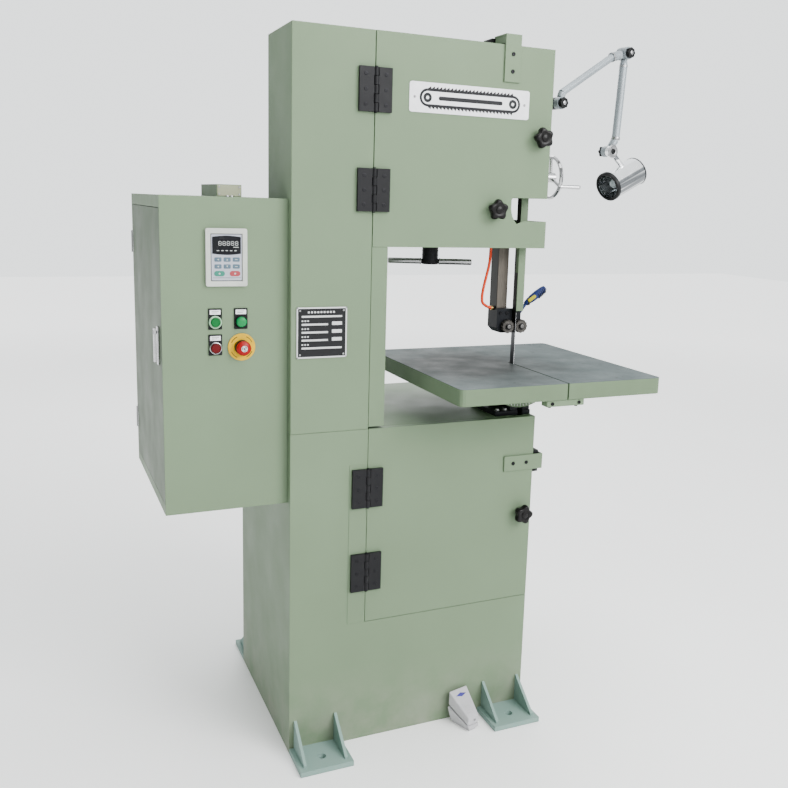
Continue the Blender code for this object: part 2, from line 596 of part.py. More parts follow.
def lower_drive():
    """The lower shaft with its pulley, its bearing housing, the motor, its pulley and the belt."""
    centre = (WHEEL_X, DRIVE_Y, LOWER_WHEEL_Z)
    disc = turned(pulley_profile(DRIVEN_RADIUS, 0.010, 0.009), centre, (0, -1, 0), 28)
    front_y = FRONT + 0.064
    shaft = rod((WHEEL_X, front_y, LOWER_WHEEL_Z), (WHEEL_X, DRIVE_Y + 0.016, LOWER_WHEEL_Z), AXLE_RADIUS, 28)
    cap = rod((WHEEL_X, front_y, LOWER_WHEEL_Z), (WHEEL_X, front_y + 0.0065, LOWER_WHEEL_Z), 0.020, 20)
    part("lower_shaft_pulley", "cast_iron", [disc, shaft, cap], origin=centre)
    bearing = [
        (AXLE_RADIUS + 0.0006, 0.060), (0.034, 0.060), (0.034, 0.010), (0.062, 0.010), (0.062, 0.0),
        (0.034, 0.0), (0.034, -0.075), (AXLE_RADIUS + 0.0006, -0.075),
    ]
    housing = turned(bearing, (WHEEL_X, HEAD_BACK + GAP, LOWER_WHEEL_Z), (0, 1, 0), 24)
    part("lower_bearing_housing", "cast_iron", [housing])

    motor_front, motor_back = DRIVE_Y + 0.055, BACK - 0.015
    body = rod((MOTOR_X, motor_front, MOTOR_Z), (MOTOR_X, motor_back, MOTOR_Z), 0.080, 28)
    shaft = rod((MOTOR_X, DRIVE_Y - 0.012, MOTOR_Z), (MOTOR_X, motor_back - 0.02, MOTOR_Z), 0.0117, 24)
    feet = box((MOTOR_X - 0.075, motor_front + 0.03, 0.005 + GAP), (MOTOR_X + 0.075, motor_back - 0.03, 0.090))
    terminals = box((MOTOR_X + 0.060, motor_front + 0.03, 0.13), (MOTOR_X + 0.115, motor_front + 0.12, 0.205))
    part("motor", "aluminium", [body, shaft, feet, terminals])
    driver = turned(
        pulley_profile(DRIVER_RADIUS, 0.010, 0.0121), (MOTOR_X, DRIVE_Y, MOTOR_Z), (0, -1, 0), 24
    )
    part("motor_pulley", "cast_iron", [driver], origin=(MOTOR_X, DRIVE_Y, MOTOR_Z))

    def belt_loop(offset):
        across, up = MOTOR_X - WHEEL_X, MOTOR_Z - LOWER_WHEEL_Z
        heading = atan2(up, across)
        spread = pi / 2 - atan2(DRIVEN_RADIUS - DRIVER_RADIUS, sqrt(across**2 + up**2))
        first, second = (heading + spread) * 180 / pi, (heading - spread) * 180 / pi
        big = arc((WHEEL_X, LOWER_WHEEL_Z), DRIVEN_RADIUS + offset, first, second + 360, 24)
        return big + arc((MOTOR_X, MOTOR_Z), DRIVER_RADIUS + offset, second, first, 12)

    belt = outline(belt_loop(BELT_THICK + 0.0007), BELT_WIDTH, upright(DRIVE_Y), hole=belt_loop(0.0007))
    part("drive_belt", "rubber", [belt])


# ---- Guide post and blade guides ----------------------------------------------------------------------
def guide_post():
    half_x, half_y = POST_SIZE[0] / 2, POST_SIZE[1] / 2
    bar = box((POST_X - half_x, POST_Y - half_y, POST_BOTTOM), (POST_X + half_x, POST_Y + half_y, POST_TOP))
    part("guide_post", "bare_steel", [bar], origin=(POST_X, POST_Y, POST_BOTTOM), bevel=0.001)


def guide_block():
    """The block on the post's foot: a slot for the blade, a hard stop behind it and two roller pins."""
    left, mid, right = LEFT + 0.621, LEFT + 0.668, LEFT + 0.697
    face_y = FRONT + 0.0960
    main = [
        (left, BLOCK_BOTTOM + 0.014), (left + 0.014, BLOCK_BOTTOM), (mid, BLOCK_BOTTOM), (mid, BLOCK_TOP),
        (left, BLOCK_TOP),
    ]
    block = outline(main, 0.054, upright(face_y + 0.027))
    carrier = box((mid - 0.004, face_y, 1.108), (right, FRONT + 0.128, 1.160))
    slot = box((BLADE_X - 0.0035, face_y - 0.01, 1.09), (BLADE_X + 0.0035, BLADE_Y + 0.0108, 1.19))
    shapes = [block, carrier]
    for x in ROLLER_XS:
        shapes.append(rod((x, FRONT + 0.080, ROLLER_Z), (x, face_y + 0.012, ROLLER_Z), 0.005, 20))
        shapes.append(rod((x, FRONT + 0.077, ROLLER_Z), (x, FRONT + 0.0808, ROLLER_Z), 0.0085, 6))
    part("guide_block", "black_steel", shapes, [slot], origin=(POST_X, POST_Y, BLOCK_TOP))


ROLLER_XS = (BLADE_X - 0.0208, BLADE_X + 0.0208)


def guide_rollers():
    """Two knurled rollers, one on each side of the blade."""
    low_y, high_y = FRONT + 0.0815, FRONT + 0.0950
    for name, x in zip(("left", "right"), ROLLER_XS):
        disc = rod((x, low_y, ROLLER_Z), (x, high_y, ROLLER_Z), ROLLER_RADIUS, 36)
        bore = rod((x, low_y - 0.01, ROLLER_Z), (x, high_y + 0.01, ROLLER_Z), 0.0054, 20)
        part(f"{name}_guide_roller", "bare_steel", [disc], [bore], origin=(x, (low_y + high_y) / 2, ROLLER_Z))


def blade_guard():
    """The strip in front of the blade, partly folded back beside it, on a tab that rests on the block."""
    left, right, front, bottom = LEFT + 0.668, LEFT + 0.690, FRONT + 0.0725, 1.1605
    strip = box((left, front, bottom), (right, front + 0.002, 1.520))
    fold = box((left, front + 0.001, 1.267), (left + 0.0015, front + 0.0135, 1.385))
    tab = box((LEFT + 0.676, front + 0.001, bottom), (right, FRONT + 0.120, bottom + 0.003))
    part("blade_guard", "green_paint", [strip, fold, tab])


# The air hose's own route, in the plane behind the wheel: out of the head, a slack bow, into the block.
HOSE_Y = FRONT + 0.123
HOSE_RADIUS = 0.004
HOSE_ROUTE = (
    (0.6050, 1.620), (0.6055, 1.500), (0.6060, 1.400), (0.6060, 1.345), (0.6055, 1.310), (0.6030, 1.285),
    (0.5975, 1.260), (0.5915, 1.235), (0.5870, 1.213), (0.5852, 1.194), (0.5875, 1.180), (0.5985, 1.171),
    (0.6095, 1.1665), (0.6203, 1.165),
)


def smooth_route(points, steps):
    """Points on the Catmull-Rom curve through these."""
    ends = [2 * points[0] - points[1], *points, 2 * points[-1] - points[-2]]
    route = []
    for before, start, end, after in zip(ends, ends[1:], ends[2:], ends[3:]):
        for step in range(steps):
            t = step / steps
            route.append(0.5 * (
                2 * start + (end - before) * t + (2 * before - 5 * start + 4 * end - after) * t**2
                + (3 * start - before - 3 * end + after) * t**3
            ))
    return [*route, points[-1]]


def air_hose():
    route = smooth_route([Vector((LEFT + x, HOSE_Y, z)) for x, z in HOSE_ROUTE], 2)
    part("air_hose", "red_hose", [tube(route, HOSE_RADIUS, 1)])


def air_nozzle():
    """The blow-off valve's spindle-shaped grip, on a short stem from the block."""
    y = FRONT + 0.112
    start, end = Vector((LEFT + 0.719, y, 1.1755)), Vector((LEFT + 0.781, y, 1.220))
    long = (end - start).length
    profile = [
        (0.0, long), (0.0080, long), (0.0100, long * 0.90), (0.0118, long * 0.62), (0.0112, long * 0.35),
        (0.0075, long * 0.06), (0.0055, 0.0), (0.0, 0.0),
    ]
    stem = rod((LEFT + 0.7012, y, 1.150), (LEFT + 0.7225, y, 1.178), 0.0045, 12)
    part("air_nozzle", "blue_plastic", [turned(profile, start, end - start, 20), stem])


def handwheel():
    """The handwheel with its shaft and the pinion that raises the guide post."""
    centre = Vector((HANDWHEEL_X, PINION_Y, PINION_Z))
    rim_radius = HANDWHEEL_RADIUS - 0.0055
    shapes = [rod(centre - Vector((0.016, 0, 0)), centre + Vector((0.010, 0, 0)), 0.014)]
    shapes.append(ring(centre, (1, 0, 0), rim_radius, 0.0055, 28))
    for turn in range(3):
        angle = CRANK_ANGLE + 2 * pi * turn / 3
        tip = centre + Vector((0, rim_radius * cos(angle), rim_radius * sin(angle)))
        shapes.append(rod(centre, tip, 0.0045, 10))
    shapes.append(rod((POST_X - 0.020, PINION_Y, PINION_Z), centre, 0.008))
    shapes.append(rod((POST_X - 0.019, PINION_Y, PINION_Z), (POST_X + 0.019, PINION_Y, PINION_Z), PINION_RADIUS))
    shapes.append(rod(CRANK, CRANK + Vector((0.066, 0, 0)), 0.0028, 12))
    shapes.append(rod(CRANK, CRANK + Vector((0.0075, 0, 0)), 0.0062, 16))
    part("handwheel", "chrome", shapes, origin=centre)


CRANK_ANGLE = pi + radians(27)
CRANK = Vector((
    HANDWHEEL_X, PINION_Y + (HANDWHEEL_RADIUS - 0.0055) * cos(CRANK_ANGLE),
    PINION_Z + (HANDWHEEL_RADIUS - 0.0055) * sin(CRANK_ANGLE),
))


def crank_handle():
    """The loose grip that turns on the handwheel's crank pin."""
    bore = 0.0032
    profile = [(bore, 0.067), (0.0052, 0.067), (0.0062, 0.062), (0.0050, 0.021), (0.0046, 0.0082), (bore, 0.0082)]
    part("crank_handle", "chrome", [turned(profile, CRANK, (1, 0, 0), 20)], origin=CRANK)


# ---- Table --------------------------------------------------------------------------------------------
TILT_AXIS = Vector((BLADE_X, BLADE_Y, TABLE_TOP))
TRUNNION_YS = (FRONT + 0.039, FRONT + 0.149)


def table():
    """The cast table: a ribbed plate, slotted to the blade, with two half-round trunnions underneath."""
    low = (TABLE_LEFT, TABLE_FRONT)
    high = (TABLE_LEFT + TABLE_SIDE, TABLE_FRONT + TABLE_SIDE)
    bottom = TABLE_TOP - TABLE_THICK
    middle_z = (TABLE_TOP + bottom) / 2
    plate = outline(rounded(low, high, 0.014), TABLE_THICK, Matrix.Translation((0, 0, middle_z)))
    half_moon = arc((BLADE_X, TABLE_TOP), TRUNNION_RADIUS, 187, 353, 28)
    moons = [outline(half_moon, 0.018, upright(y)) for y in TRUNNION_YS]
    wall, plate_thick, boss = 0.014, 0.016, 0.040
    middle_y = low[1] + TABLE_SIDE / 2
    holes = []
    for start_x, end_x in ((low[0] + wall, BLADE_X - boss), (BLADE_X + boss, high[0] - wall)):
        for start_y, end_y in ((low[1] + wall, middle_y - 0.006), (middle_y + 0.006, high[1] - wall)):
            holes.append(box((start_x, start_y, bottom - 0.01), (end_x, end_y, TABLE_TOP - plate_thick)))
    slot = box((BLADE_X - 0.0022, low[1] - 0.01, bottom - 0.001), (BLADE_X + 0.0022, BLADE_Y + 0.013, TABLE_TOP + 0.01))
    relief = [
        (BLADE_X - 0.0024, TABLE_TOP + 0.004), (BLADE_X - 0.0024, TABLE_TOP - 0.002),
        (BLADE_X - 0.0150, bottom - 0.010), (BLADE_X + 0.0620, bottom - 0.010),
        (BLADE_X + 0.0024, TABLE_TOP - 0.0005), (BLADE_X + 0.0024, TABLE_TOP + 0.004),
    ]
    relief_cut = outline(relief, 0.036, upright(BLADE_Y))
    casting = carved([plate], holes)
    part("table", "cast_iron", [casting, *moons], [slot, relief_cut], origin=TILT_AXIS)


def table_alignment_bar():
    """The bar under the front edge that keeps both sides of the slot level."""
    bottom = TABLE_TOP - TABLE_THICK
    bar = box((LEFT + 0.612, TABLE_FRONT + 0.003, bottom - 0.017), (LEFT + 0.724, TABLE_FRONT + 0.030, bottom - GAP))
    part("table_alignment_bar", "green_paint", [bar], bevel=0.0015)


def trunnion_base():
    """The cradle that both half-round trunnions turn in, with a clear slot for the blade."""
    low = (BLADE_X - 0.080, FRONT + 0.026, BASE_TOP + GAP)
    high = (BLADE_X + 0.030, FRONT + 0.170, BASE_TOP + 0.013)
    shapes = [box(low, high)]
    for y in TRUNNION_YS:
        shapes.append(box((BLADE_X - 0.032, y - 0.009, BASE_TOP + 0.010), (BLADE_X + 0.029, y + 0.009, 0.903)))
        inner = y + 0.0155 if y < BLADE_Y else y - 0.0155
        shapes.append(box((BLADE_X - 0.032, inner - 0.005, BASE_TOP + 0.010), (BLADE_X + 0.029, inner + 0.005, 0.911)))
    slot = box((BLADE_X - 0.010, FRONT + 0.01, BASE_TOP - 0.01), (BLADE_X + 0.006, FRONT + 0.108, 0.925))
    arch = rod((BLADE_X, FRONT, TABLE_TOP), (BLADE_X, FRONT + 0.0488, TABLE_TOP), TRUNNION_RADIUS + 0.0008, 90)
    rear_arch = rod(
        (BLADE_X, FRONT + 0.1391, TABLE_TOP), (BLADE_X, FRONT + 0.2, TABLE_TOP), TRUNNION_RADIUS + 0.0008, 90
    )
    part("trunnion_base", "black_steel", shapes, [slot, arch, rear_arch])


# ---- Electrical cabinet and controls ------------------------------------------------------------------
CABINET_DOOR_Y = (CABINET_FRONT + 0.0045, CABINET_FRONT + 0.5035)
CABINET_DOOR_Z = (0.7175, 1.4205)
CABINET_PIVOT = (CABINET[0][0] - 0.0035, CABINET_DOOR_Y[1] + 0.0015, 0)
BUTTONS = {"start": (LEFT - 0.177, 1.158), "stop": (LEFT - 0.177, 1.096)}
LAMP_SPOT = (LEFT - 0.116, 1.158)
STOP_SPOT = (LEFT - 0.1145, 1.0965)
KEYPAD = ((LEFT - 0.198, 1.243), (LEFT - 0.101, 1.378))


def cabinet():
    low, high = CABINET
    outer, inner = walls(low, high, CABINET_SHEET)
    opening = box(
        (low[0] - 0.01, CABINET_DOOR_Y[0] - 0.0015, CABINET_DOOR_Z[0] - 0.0015),
        (low[0] + 0.0235, CABINET_DOOR_Y[1] + 0.0015, CABINET_DOOR_Z[1] + 0.0015),
    )
    shell = carved([outer], [inner, opening])
    entry = box((LEFT - 0.155, FRONT + 0.100, high[2] - 0.001), (LEFT - 0.095, FRONT + 0.295, high[2] + 0.029))
    face_y = CABINET_FRONT
    holes = [
        rod((x, face_y - 0.01, z), (x, face_y + 0.02, z), radius, 24)
        for (x, z), radius in [(BUTTONS["start"], 0.0122), (BUTTONS["stop"], 0.0122), (STOP_SPOT, 0.0112)]
    ]
    part("cabinet_shell", "green_paint", [shell, entry], holes)


def cabinet_door():
    """The cabinet's side door, hinged at its rear edge, with a pull handle near its front edge."""
    low = (CABINET[0][0], CABINET_DOOR_Y[0], CABINET_DOOR_Z[0])
    high = (CABINET[0][0] + 0.022, CABINET_DOOR_Y[1], CABINET_DOOR_Z[1])
    outer, inner = walls(low, high, CABINET_SHEET, (0, 1))
    part("cabinet_door", "green_paint", [outer], [inner], origin=CABINET_PIVOT)
    face_x, y = CABINET[0][0] - GAP, CABINET_FRONT + 0.047
    plate = box((face_x - 0.004, y - 0.010, 1.053), (face_x, y + 0.010, 1.145))
    neck = rod((face_x - 0.0044, y, 1.131), (face_x - 0.009, y, 1.131), 0.0045, 20)
    lever = box((face_x - 0.012, y - 0.006, 1.060), (face_x - 0.006, y + 0.006, 1.141))
    part("cabinet_handle_plate", "chrome", [plate], origin=(face_x, y, 1.131), bevel=0.001)
    part("cabinet_handle", "chrome", [lever, neck], origin=(face_x, y, 1.131), bevel=0.0015)


def controls():
    face_y = CABINET_FRONT
    (x0, z0), (x1, z1) = KEYPAD
    rim = outline(rounded((x0, z0), (x1, z1), 0.004, 2), 0.008, upright(face_y - 0.0044))
    recess = box((x0 + 0.011, face_y - 0.01, z0 + 0.012), (x1 - 0.011, face_y - 0.0055, z1 - 0.012))
    part("speed_panel", "grey_plastic", [rim], [recess])
    for (name, (x, z)), paint in zip(BUTTONS.items(), ("green_plastic", "red_plastic")):
        cap = rod((x, face_y - 0.011, z), (x, face_y + 0.012, z), 0.0112, 24)
        part(f"{name}_button", paint, [cap], origin=(x, face_y, z), bevel=0.001)
    x, z = LAMP_SPOT
    lens = rod((x, face_y - 0.012, z), (x, face_y - GAP, z), 0.0125, 24)
    part("pilot_lamp", "green_plastic", [lens], bevel=0.002)
    x, z = STOP_SPOT
    disc = rod((x, face_y - 0.003, z), (x, face_y - GAP, z), 0.033, 32)
    collar = rod((x, face_y - 0.014, z), (x, face_y - 0.002, z), 0.0145, 24)
    bore = rod((x, face_y - 0.03, z), (x, face_y + 0.01, z), 0.0108, 24)
    part("emergency_stop_plate", "yellow_plastic", [disc, collar], [bore])
    head = [
        (0.0, 0.033), (0.009, 0.0325), (0.0145, 0.0305), (0.0176, 0.0275), (0.0180, 0.0240), (0.0162, 0.0210),
        (0.0102, 0.0210), (0.0102, -0.006), (0.0, -0.006),
    ]
    mushroom = turned(head, (x, face_y, z), (0, -1, 0), 20)
    part("emergency_stop_button", "red_plastic", [mushroom], origin=(x, face_y, z))


# ---- Work lamp ----------------------------------------------------------------------------------------
LAMP_ALONG = Vector((cos(LAMP_PLANE), sin(LAMP_PLANE), 0))
LAMP_ACROSS = Vector((-sin(LAMP_PLANE), cos(LAMP_PLANE), 0))


def lamp_point(along, up, across=0.0):
    return Vector(LAMP_BASE) + LAMP_ALONG * along + Vector((0, 0, up)) + LAMP_ACROSS * across


def lamp_eye(spot, side, radius):
    """A round joint eye on one side of the lamp's plane."""
    return rod(lamp_point(*spot, side * 0.0006), lamp_point(*spot, side * LAMP_EYE), radius, 24)


def lamp_neck(spot, inside, side):
    """The neck from a joint eye to a point inside its tube."""
    return rod(lamp_point(*spot, side * 0.0080), lamp_point(*inside, side * 0.0030), 0.0062, 14)


LAMP_EYE = 0.0165               # half the thickness of a joint
BASE_EYE, ELBOW_EYE, WRIST_EYE = 0.0165, 0.0175, 0.0155


def lamp_arms():
    """The lower arm with the socket at its elbow, and the bent upper arm that hangs from the elbow."""
    lower_start, lower_end, socket_end = (0.0133, 0.0286), (0.202, 0.1435), (0.2369, 0.1542)
    lower = [
        rod(lamp_point(*lower_start), lamp_point(0.212, 0.1480), 0.0095, 20),
        rod(lamp_point(*lower_end), lamp_point(*socket_end), 0.0125, 24),
        lamp_neck((0, 0), (0.0235, 0.0346), -1),
        rod(lamp_point(*LAMP_ELBOW, 0.0080), lamp_point(0.226, 0.1508, 0.0080), 0.0062, 14),
        lamp_eye((0, 0), -1, BASE_EYE),
        lamp_eye(LAMP_ELBOW, 1, ELBOW_EYE),
    ]
    part("lamp_lower_arm", "aluminium", lower, origin=lamp_point(0, 0))
    bend = [lamp_point(0.2546, 0.1286), lamp_point(0.2492, 0.0307), lamp_point(0.2419, -0.0827)]
    upper = [
        tube(bend, 0.011, 4),
        lamp_neck(LAMP_ELBOW, (0.2540, 0.1176), -1),
        lamp_neck(LAMP_WRIST, (0.2425, -0.0720), 1),
        lamp_eye(LAMP_ELBOW, -1, ELBOW_EYE),
        lamp_eye(LAMP_WRIST, 1, WRIST_EYE),
    ]
    part("lamp_upper_arm", "aluminium", upper, origin=lamp_point(*LAMP_ELBOW))


def lamp_head():
    """The shade, open at the front, with the neck that carries it."""
    back = (LAMP_FACE[0] + LAMP_LENGTH * cos(LAMP_PITCH), LAMP_FACE[1] - LAMP_LENGTH * sin(LAMP_PITCH))
    profile = [
        (0.0, LAMP_LENGTH), (0.030, LAMP_LENGTH), (LAMP_RADIUS, LAMP_LENGTH - 0.008), (LAMP_RADIUS, 0.0),
        (LAMP_RADIUS - 0.004, 0.0), (LAMP_RADIUS - 0.005, 0.075), (0.0, 0.095),
    ]
    beam = lamp_point(*back) - lamp_point(*LAMP_FACE)
    shade = turned(profile, lamp_point(*LAMP_FACE), beam, 28)
    neck = rod(lamp_point(*LAMP_WRIST, -0.0085), lamp_point(0.2690, -0.1565, -0.0085), 0.0075, 16)
    eye = lamp_eye(LAMP_WRIST, -1, WRIST_EYE)
    part("lamp_head", "aluminium", [shade, neck, eye], origin=lamp_point(*LAMP_WRIST))


def work_lamp():
    x, y, z = LAMP_BASE
    flange = box((RIGHT + GAP, y - 0.030, z - 0.032), (RIGHT + 0.009, y + 0.030, z + 0.032))
    stem = rod((RIGHT + 0.004, y, z), (x - 0.022, y, z), 0.010, 20)
    neck = rod((x - 0.026, y + 0.001, z), lamp_point(0, 0, 0.0080), 0.0062, 14)
    part("lamp_mount", "black_steel", [flange, stem, neck, lamp_eye((0, 0), 1, BASE_EYE)])
    lamp_arms()
    lamp_head()


# ---- Foot switch --------------------------------------------------------------------------------------
PEDAL_TURN = radians(14)
PEDAL_BACK = (LEFT + 0.490, FRONT - 0.013)
PEDAL_LENGTH = 0.072
PEDAL_PIVOT_Z = 0.021


def pedal_place():
    return Matrix.Translation((*PEDAL_BACK, 0)) @ Matrix.Rotation(PEDAL_TURN, 4, "Z")


def wedge(back_low, back_high, nose_low, nose_high, back_widths, nose_widths, inset=0.0):
    """A tapered block: heights and widths (low, high) at its back and at its nose, set in at both ends."""
    bm = bmesh.new()
    bmesh.ops.create_cube(bm, size=1.0)
    for corner in bm.verts:
        at_back, high = corner.co.y > 0, corner.co.z > 0
        widths = back_widths if at_back else nose_widths
        levels = (back_low, back_high) if at_back else (nose_low, nose_high)
        corner.co.x *= widths[high]
        corner.co.y = -inset if at_back else inset - PEDAL_LENGTH
        corner.co.z = levels[high]
    bmesh.ops.transform(bm, matrix=pedal_place(), verts=bm.verts)
    return mesh_object(bm)


def foot_switch():
    """The foot switch: a shell on an inset plinth, and the cover that rocks about its nose."""
    pivot = pedal_place() @ Vector((0, -PEDAL_LENGTH + 0.006, PEDAL_PIVOT_Z))
    base = wedge(0.007, 0.049, 0.007, 0.016, (0.046, 0.070), (0.030, 0.036))
    plinth = wedge(0.0, 0.010, 0.0, 0.010, (0.040, 0.040), (0.024, 0.024), inset=0.004)
    cover = wedge(0.056, 0.094, 0.020, 0.042, (0.066, 0.064), (0.040, 0.037))
    part("pedal_base", "grey_plastic", [base, plinth])
    part("pedal_cover", "grey_plastic", [cover], origin=pivot, bevel=0.0025)


def build():
    clear_scene()
    column()
    base_housing()
    rear_cover()
    head_housing()
    return_blade_cover()
    upper_door()
    lower_door()
    for name, middle_z in HINGE_SPOTS.items():
        hinge(name, middle_z)
    for name, (x, z) in KNOBS.items():
        star_knob(name, x, z)
    interlock_brackets()
    plates()
    wheel("upper_wheel", UPPER_WHEEL_Z)
    wheel("lower_wheel", LOWER_WHEEL_Z)
    blade()
    wheel_carriage()
    tension_handle()
    lower_drive()
    guide_post()
    guide_block()
    guide_rollers()
    blade_guard()
    air_hose()
    air_nozzle()
    handwheel()
    crank_handle()
    table()
    table_alignment_bar()
    trunnion_base()
    cabinet()
    cabinet_door()
    controls()
    work_lamp()
    foot_switch()


build()
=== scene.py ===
"""Looks of the vertical band saw: camera, studio, procedural materials, and the fine pieces that the CAD
solids leave out, such as screws, keys, rivets, fins, teeth and the lamp's glass. Metres, +Z up.
"""

import json
from math import cos, pi, radians, sin

import bmesh
import bpy
from mathutils import Matrix, Vector


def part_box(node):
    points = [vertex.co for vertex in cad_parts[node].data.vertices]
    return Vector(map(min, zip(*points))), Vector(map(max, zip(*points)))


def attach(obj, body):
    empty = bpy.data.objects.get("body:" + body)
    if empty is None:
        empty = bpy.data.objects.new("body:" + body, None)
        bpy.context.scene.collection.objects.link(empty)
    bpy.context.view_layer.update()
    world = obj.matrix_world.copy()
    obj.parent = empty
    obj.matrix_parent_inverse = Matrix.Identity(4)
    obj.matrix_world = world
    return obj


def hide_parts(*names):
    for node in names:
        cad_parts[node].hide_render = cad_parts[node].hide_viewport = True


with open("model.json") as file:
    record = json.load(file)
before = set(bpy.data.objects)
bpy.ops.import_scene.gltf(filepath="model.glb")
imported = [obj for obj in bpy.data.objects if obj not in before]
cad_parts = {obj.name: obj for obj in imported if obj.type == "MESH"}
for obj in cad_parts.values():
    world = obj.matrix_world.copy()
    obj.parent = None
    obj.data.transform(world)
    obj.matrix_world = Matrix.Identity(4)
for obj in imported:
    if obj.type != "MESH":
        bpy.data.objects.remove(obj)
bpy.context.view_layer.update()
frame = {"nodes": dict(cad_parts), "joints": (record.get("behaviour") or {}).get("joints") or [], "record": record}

UP = Vector((0, 0, 1))

# ---- Node helpers -------------------------------------------------------------------------------------
PRINT_SPECULAR, ENAMEL_SPECULAR, TABLE_SPECULAR = 0.14, 0.09, 0.03


class Tree:
    """A small helper around one node tree."""

    def __init__(self, tree, coordinates):
        self.tree = tree
        self.place = self.add("ShaderNodeTexCoord").outputs[coordinates]

    def add(self, kind, **settings):
        node = self.tree.nodes.new(kind)
        for key, value in settings.items():
            setattr(node, key, value)
        return node

    def join(self, source, target):
        self.tree.links.new(source, target)

    def fill(self, node, **values):
        """Sets a node's input sockets to plain values."""
        for socket, value in values.items():
            node.inputs[socket.replace("_", " ")].default_value = value
        return node

    def axes(self):
        """The place's X, Y and Z."""
        node = self.add("ShaderNodeSeparateXYZ")
        self.join(self.place, node.inputs["Vector"])
        return node.outputs

    def stretched(self, scale, vector=None):
        node = self.fill(self.add("ShaderNodeMapping"), Scale=scale)
        self.join(vector or self.place, node.inputs["Vector"])
        return node.outputs["Vector"]

    def noise(self, scale, detail=4.0, rough=0.55, vector=None):
        node = self.fill(self.add("ShaderNodeTexNoise"), Scale=scale, Detail=detail, Roughness=rough)
        self.join(vector or self.place, node.inputs["Vector"])
        return node.outputs["Fac"]

    def spread(self, value, low, high, to_low=0.0, to_high=1.0):
        node = self.fill(
            self.add("ShaderNodeMapRange"), From_Min=low, From_Max=high, To_Min=to_low, To_Max=to_high)
        self.join(value, node.inputs["Value"])
        return node.outputs["Result"]

    def patches(self, scale, detail, low=0.3, high=0.7, to_low=0.0, to_high=1.0, rough=0.55):
        """Noise, spread between two of its levels."""
        return self.spread(self.noise(scale, detail, rough), low, high, to_low, to_high)

    def math(self, operation, first, second):
        node = self.add("ShaderNodeMath", operation=operation)
        for socket, value in zip(node.inputs, (first, second)):
            if isinstance(value, float):
                socket.default_value = value
            else:
                self.join(value, socket)
        return node.outputs["Value"]

    def distance(self, operation="LENGTH"):
        node = self.add("ShaderNodeVectorMath", operation=operation)
        self.join(self.place, node.inputs[0])
        return node


class Look(Tree):
    """One material: its Principled shader and the nodes that drive it."""

    def __init__(self, name, colour, roughness, metallic=0.0, specular=0.5, **sockets):
        self.material = bpy.data.materials.new(name)
        self.material.use_nodes = True
        super().__init__(self.material.node_tree, "Object")
        self.shader = self.fill(
            self.tree.nodes["Principled BSDF"], Base_Color=(*colour, 1), Roughness=roughness,
            Metallic=metallic, Specular_IOR_Level=specular, **sockets)

    def tint(self, fac, low, high, share=None):
        """Runs from one colour to another with a factor, or with a share of it."""
        if share is not None:
            fac = self.math("MULTIPLY", fac, share)
        node = self.add("ShaderNodeMix", data_type="RGBA")
        self.join(fac, node.inputs["Factor"])
        for target, value in zip([each for each in node.inputs if each.type == "RGBA"], (low, high)):
            if isinstance(value, tuple):
                target.default_value = (*value, 1)
            else:
                self.join(value, target)
        return [each for each in node.outputs if each.type == "RGBA"][0]

    def clouded(self, scale, detail, colour, darker, paler):
        """A colour that drifts between a darker and a paler one."""
        return self.tint(self.patches(scale, detail), shade(colour, darker), shade(colour, paler))

    def edges(self, radius):
        """The smoothed normal near edges, and how strongly a point is on one."""
        smooth = self.fill(self.add("ShaderNodeBevel", samples=4), Radius=radius).outputs["Normal"]
        dot = self.add("ShaderNodeVectorMath", operation="DOT_PRODUCT")
        self.join(smooth, dot.inputs[0])
        self.join(self.add("ShaderNodeNewGeometry").outputs["Normal"], dot.inputs[1])
        bend = self.math("SUBTRACT", 1.0, dot.outputs["Value"])
        return smooth, self.spread(bend, 0.03, 0.35)

    def finish(self, colour=None, roughness=None, height=None, depth=0.0001, strength=0.5, normal=None):
        """Joins what is given to the shader; a height becomes a bump on the normal."""
        if height is not None:
            bump = self.fill(self.add("ShaderNodeBump"), Strength=strength, Distance=depth)
            self.join(height, bump.inputs["Height"])
            if normal is not None:
                self.join(normal, bump.inputs["Normal"])
            normal = bump.outputs["Normal"]
        for source, socket in ((colour, "Base Color"), (roughness, "Roughness"), (normal, "Normal")):
            if source is not None:
                self.join(source, self.shader.inputs[socket])
        return self.material


def shade(colour, factor):
    return tuple(min(1.0, channel * factor) for channel in colour)


# ---- Camera and studio --------------------------------------------------------------------------------
CAMERA_PLACE = (-0.9472, -2.3617, 1.4559)
CAMERA_HEADING, CAMERA_PITCH, CAMERA_ROLL = radians(24.4), radians(-10.77), radians(1.83)
CAMERA_LENS = 41.03
CAMERA_SHIFT = (-0.037, -0.0287)
SKY_COLOUR = (0.955, 0.99, 1.0, 1)
SKY_BACK, SKY_FRONT, SKY_FLAG, SKY_LEFT = 2.05, 1.65, 0.95, 0.5
# Each lamp's name, place, the height that it aims at above the origin, size and power.
LAMPS = (
    ("key", (2.4, -4.0, 3.4), 1.3, 2.4, 290),
    ("front_fill", (0.2, -4.4, 2.8), 1.4, 2.4, 95),
    ("overhead", (0.2, -0.8, 4.4), 1.0, 2.4, 90),
    ("back", (0.8, 3.6, 3.2), 1.0, 2.6, 90),
)
FLOOR_REACH, FLOOR_DROP = 14, 0.0005


def add_object(name, data):
    obj = bpy.data.objects.new(name, data)
    bpy.context.scene.collection.objects.link(obj)
    return obj


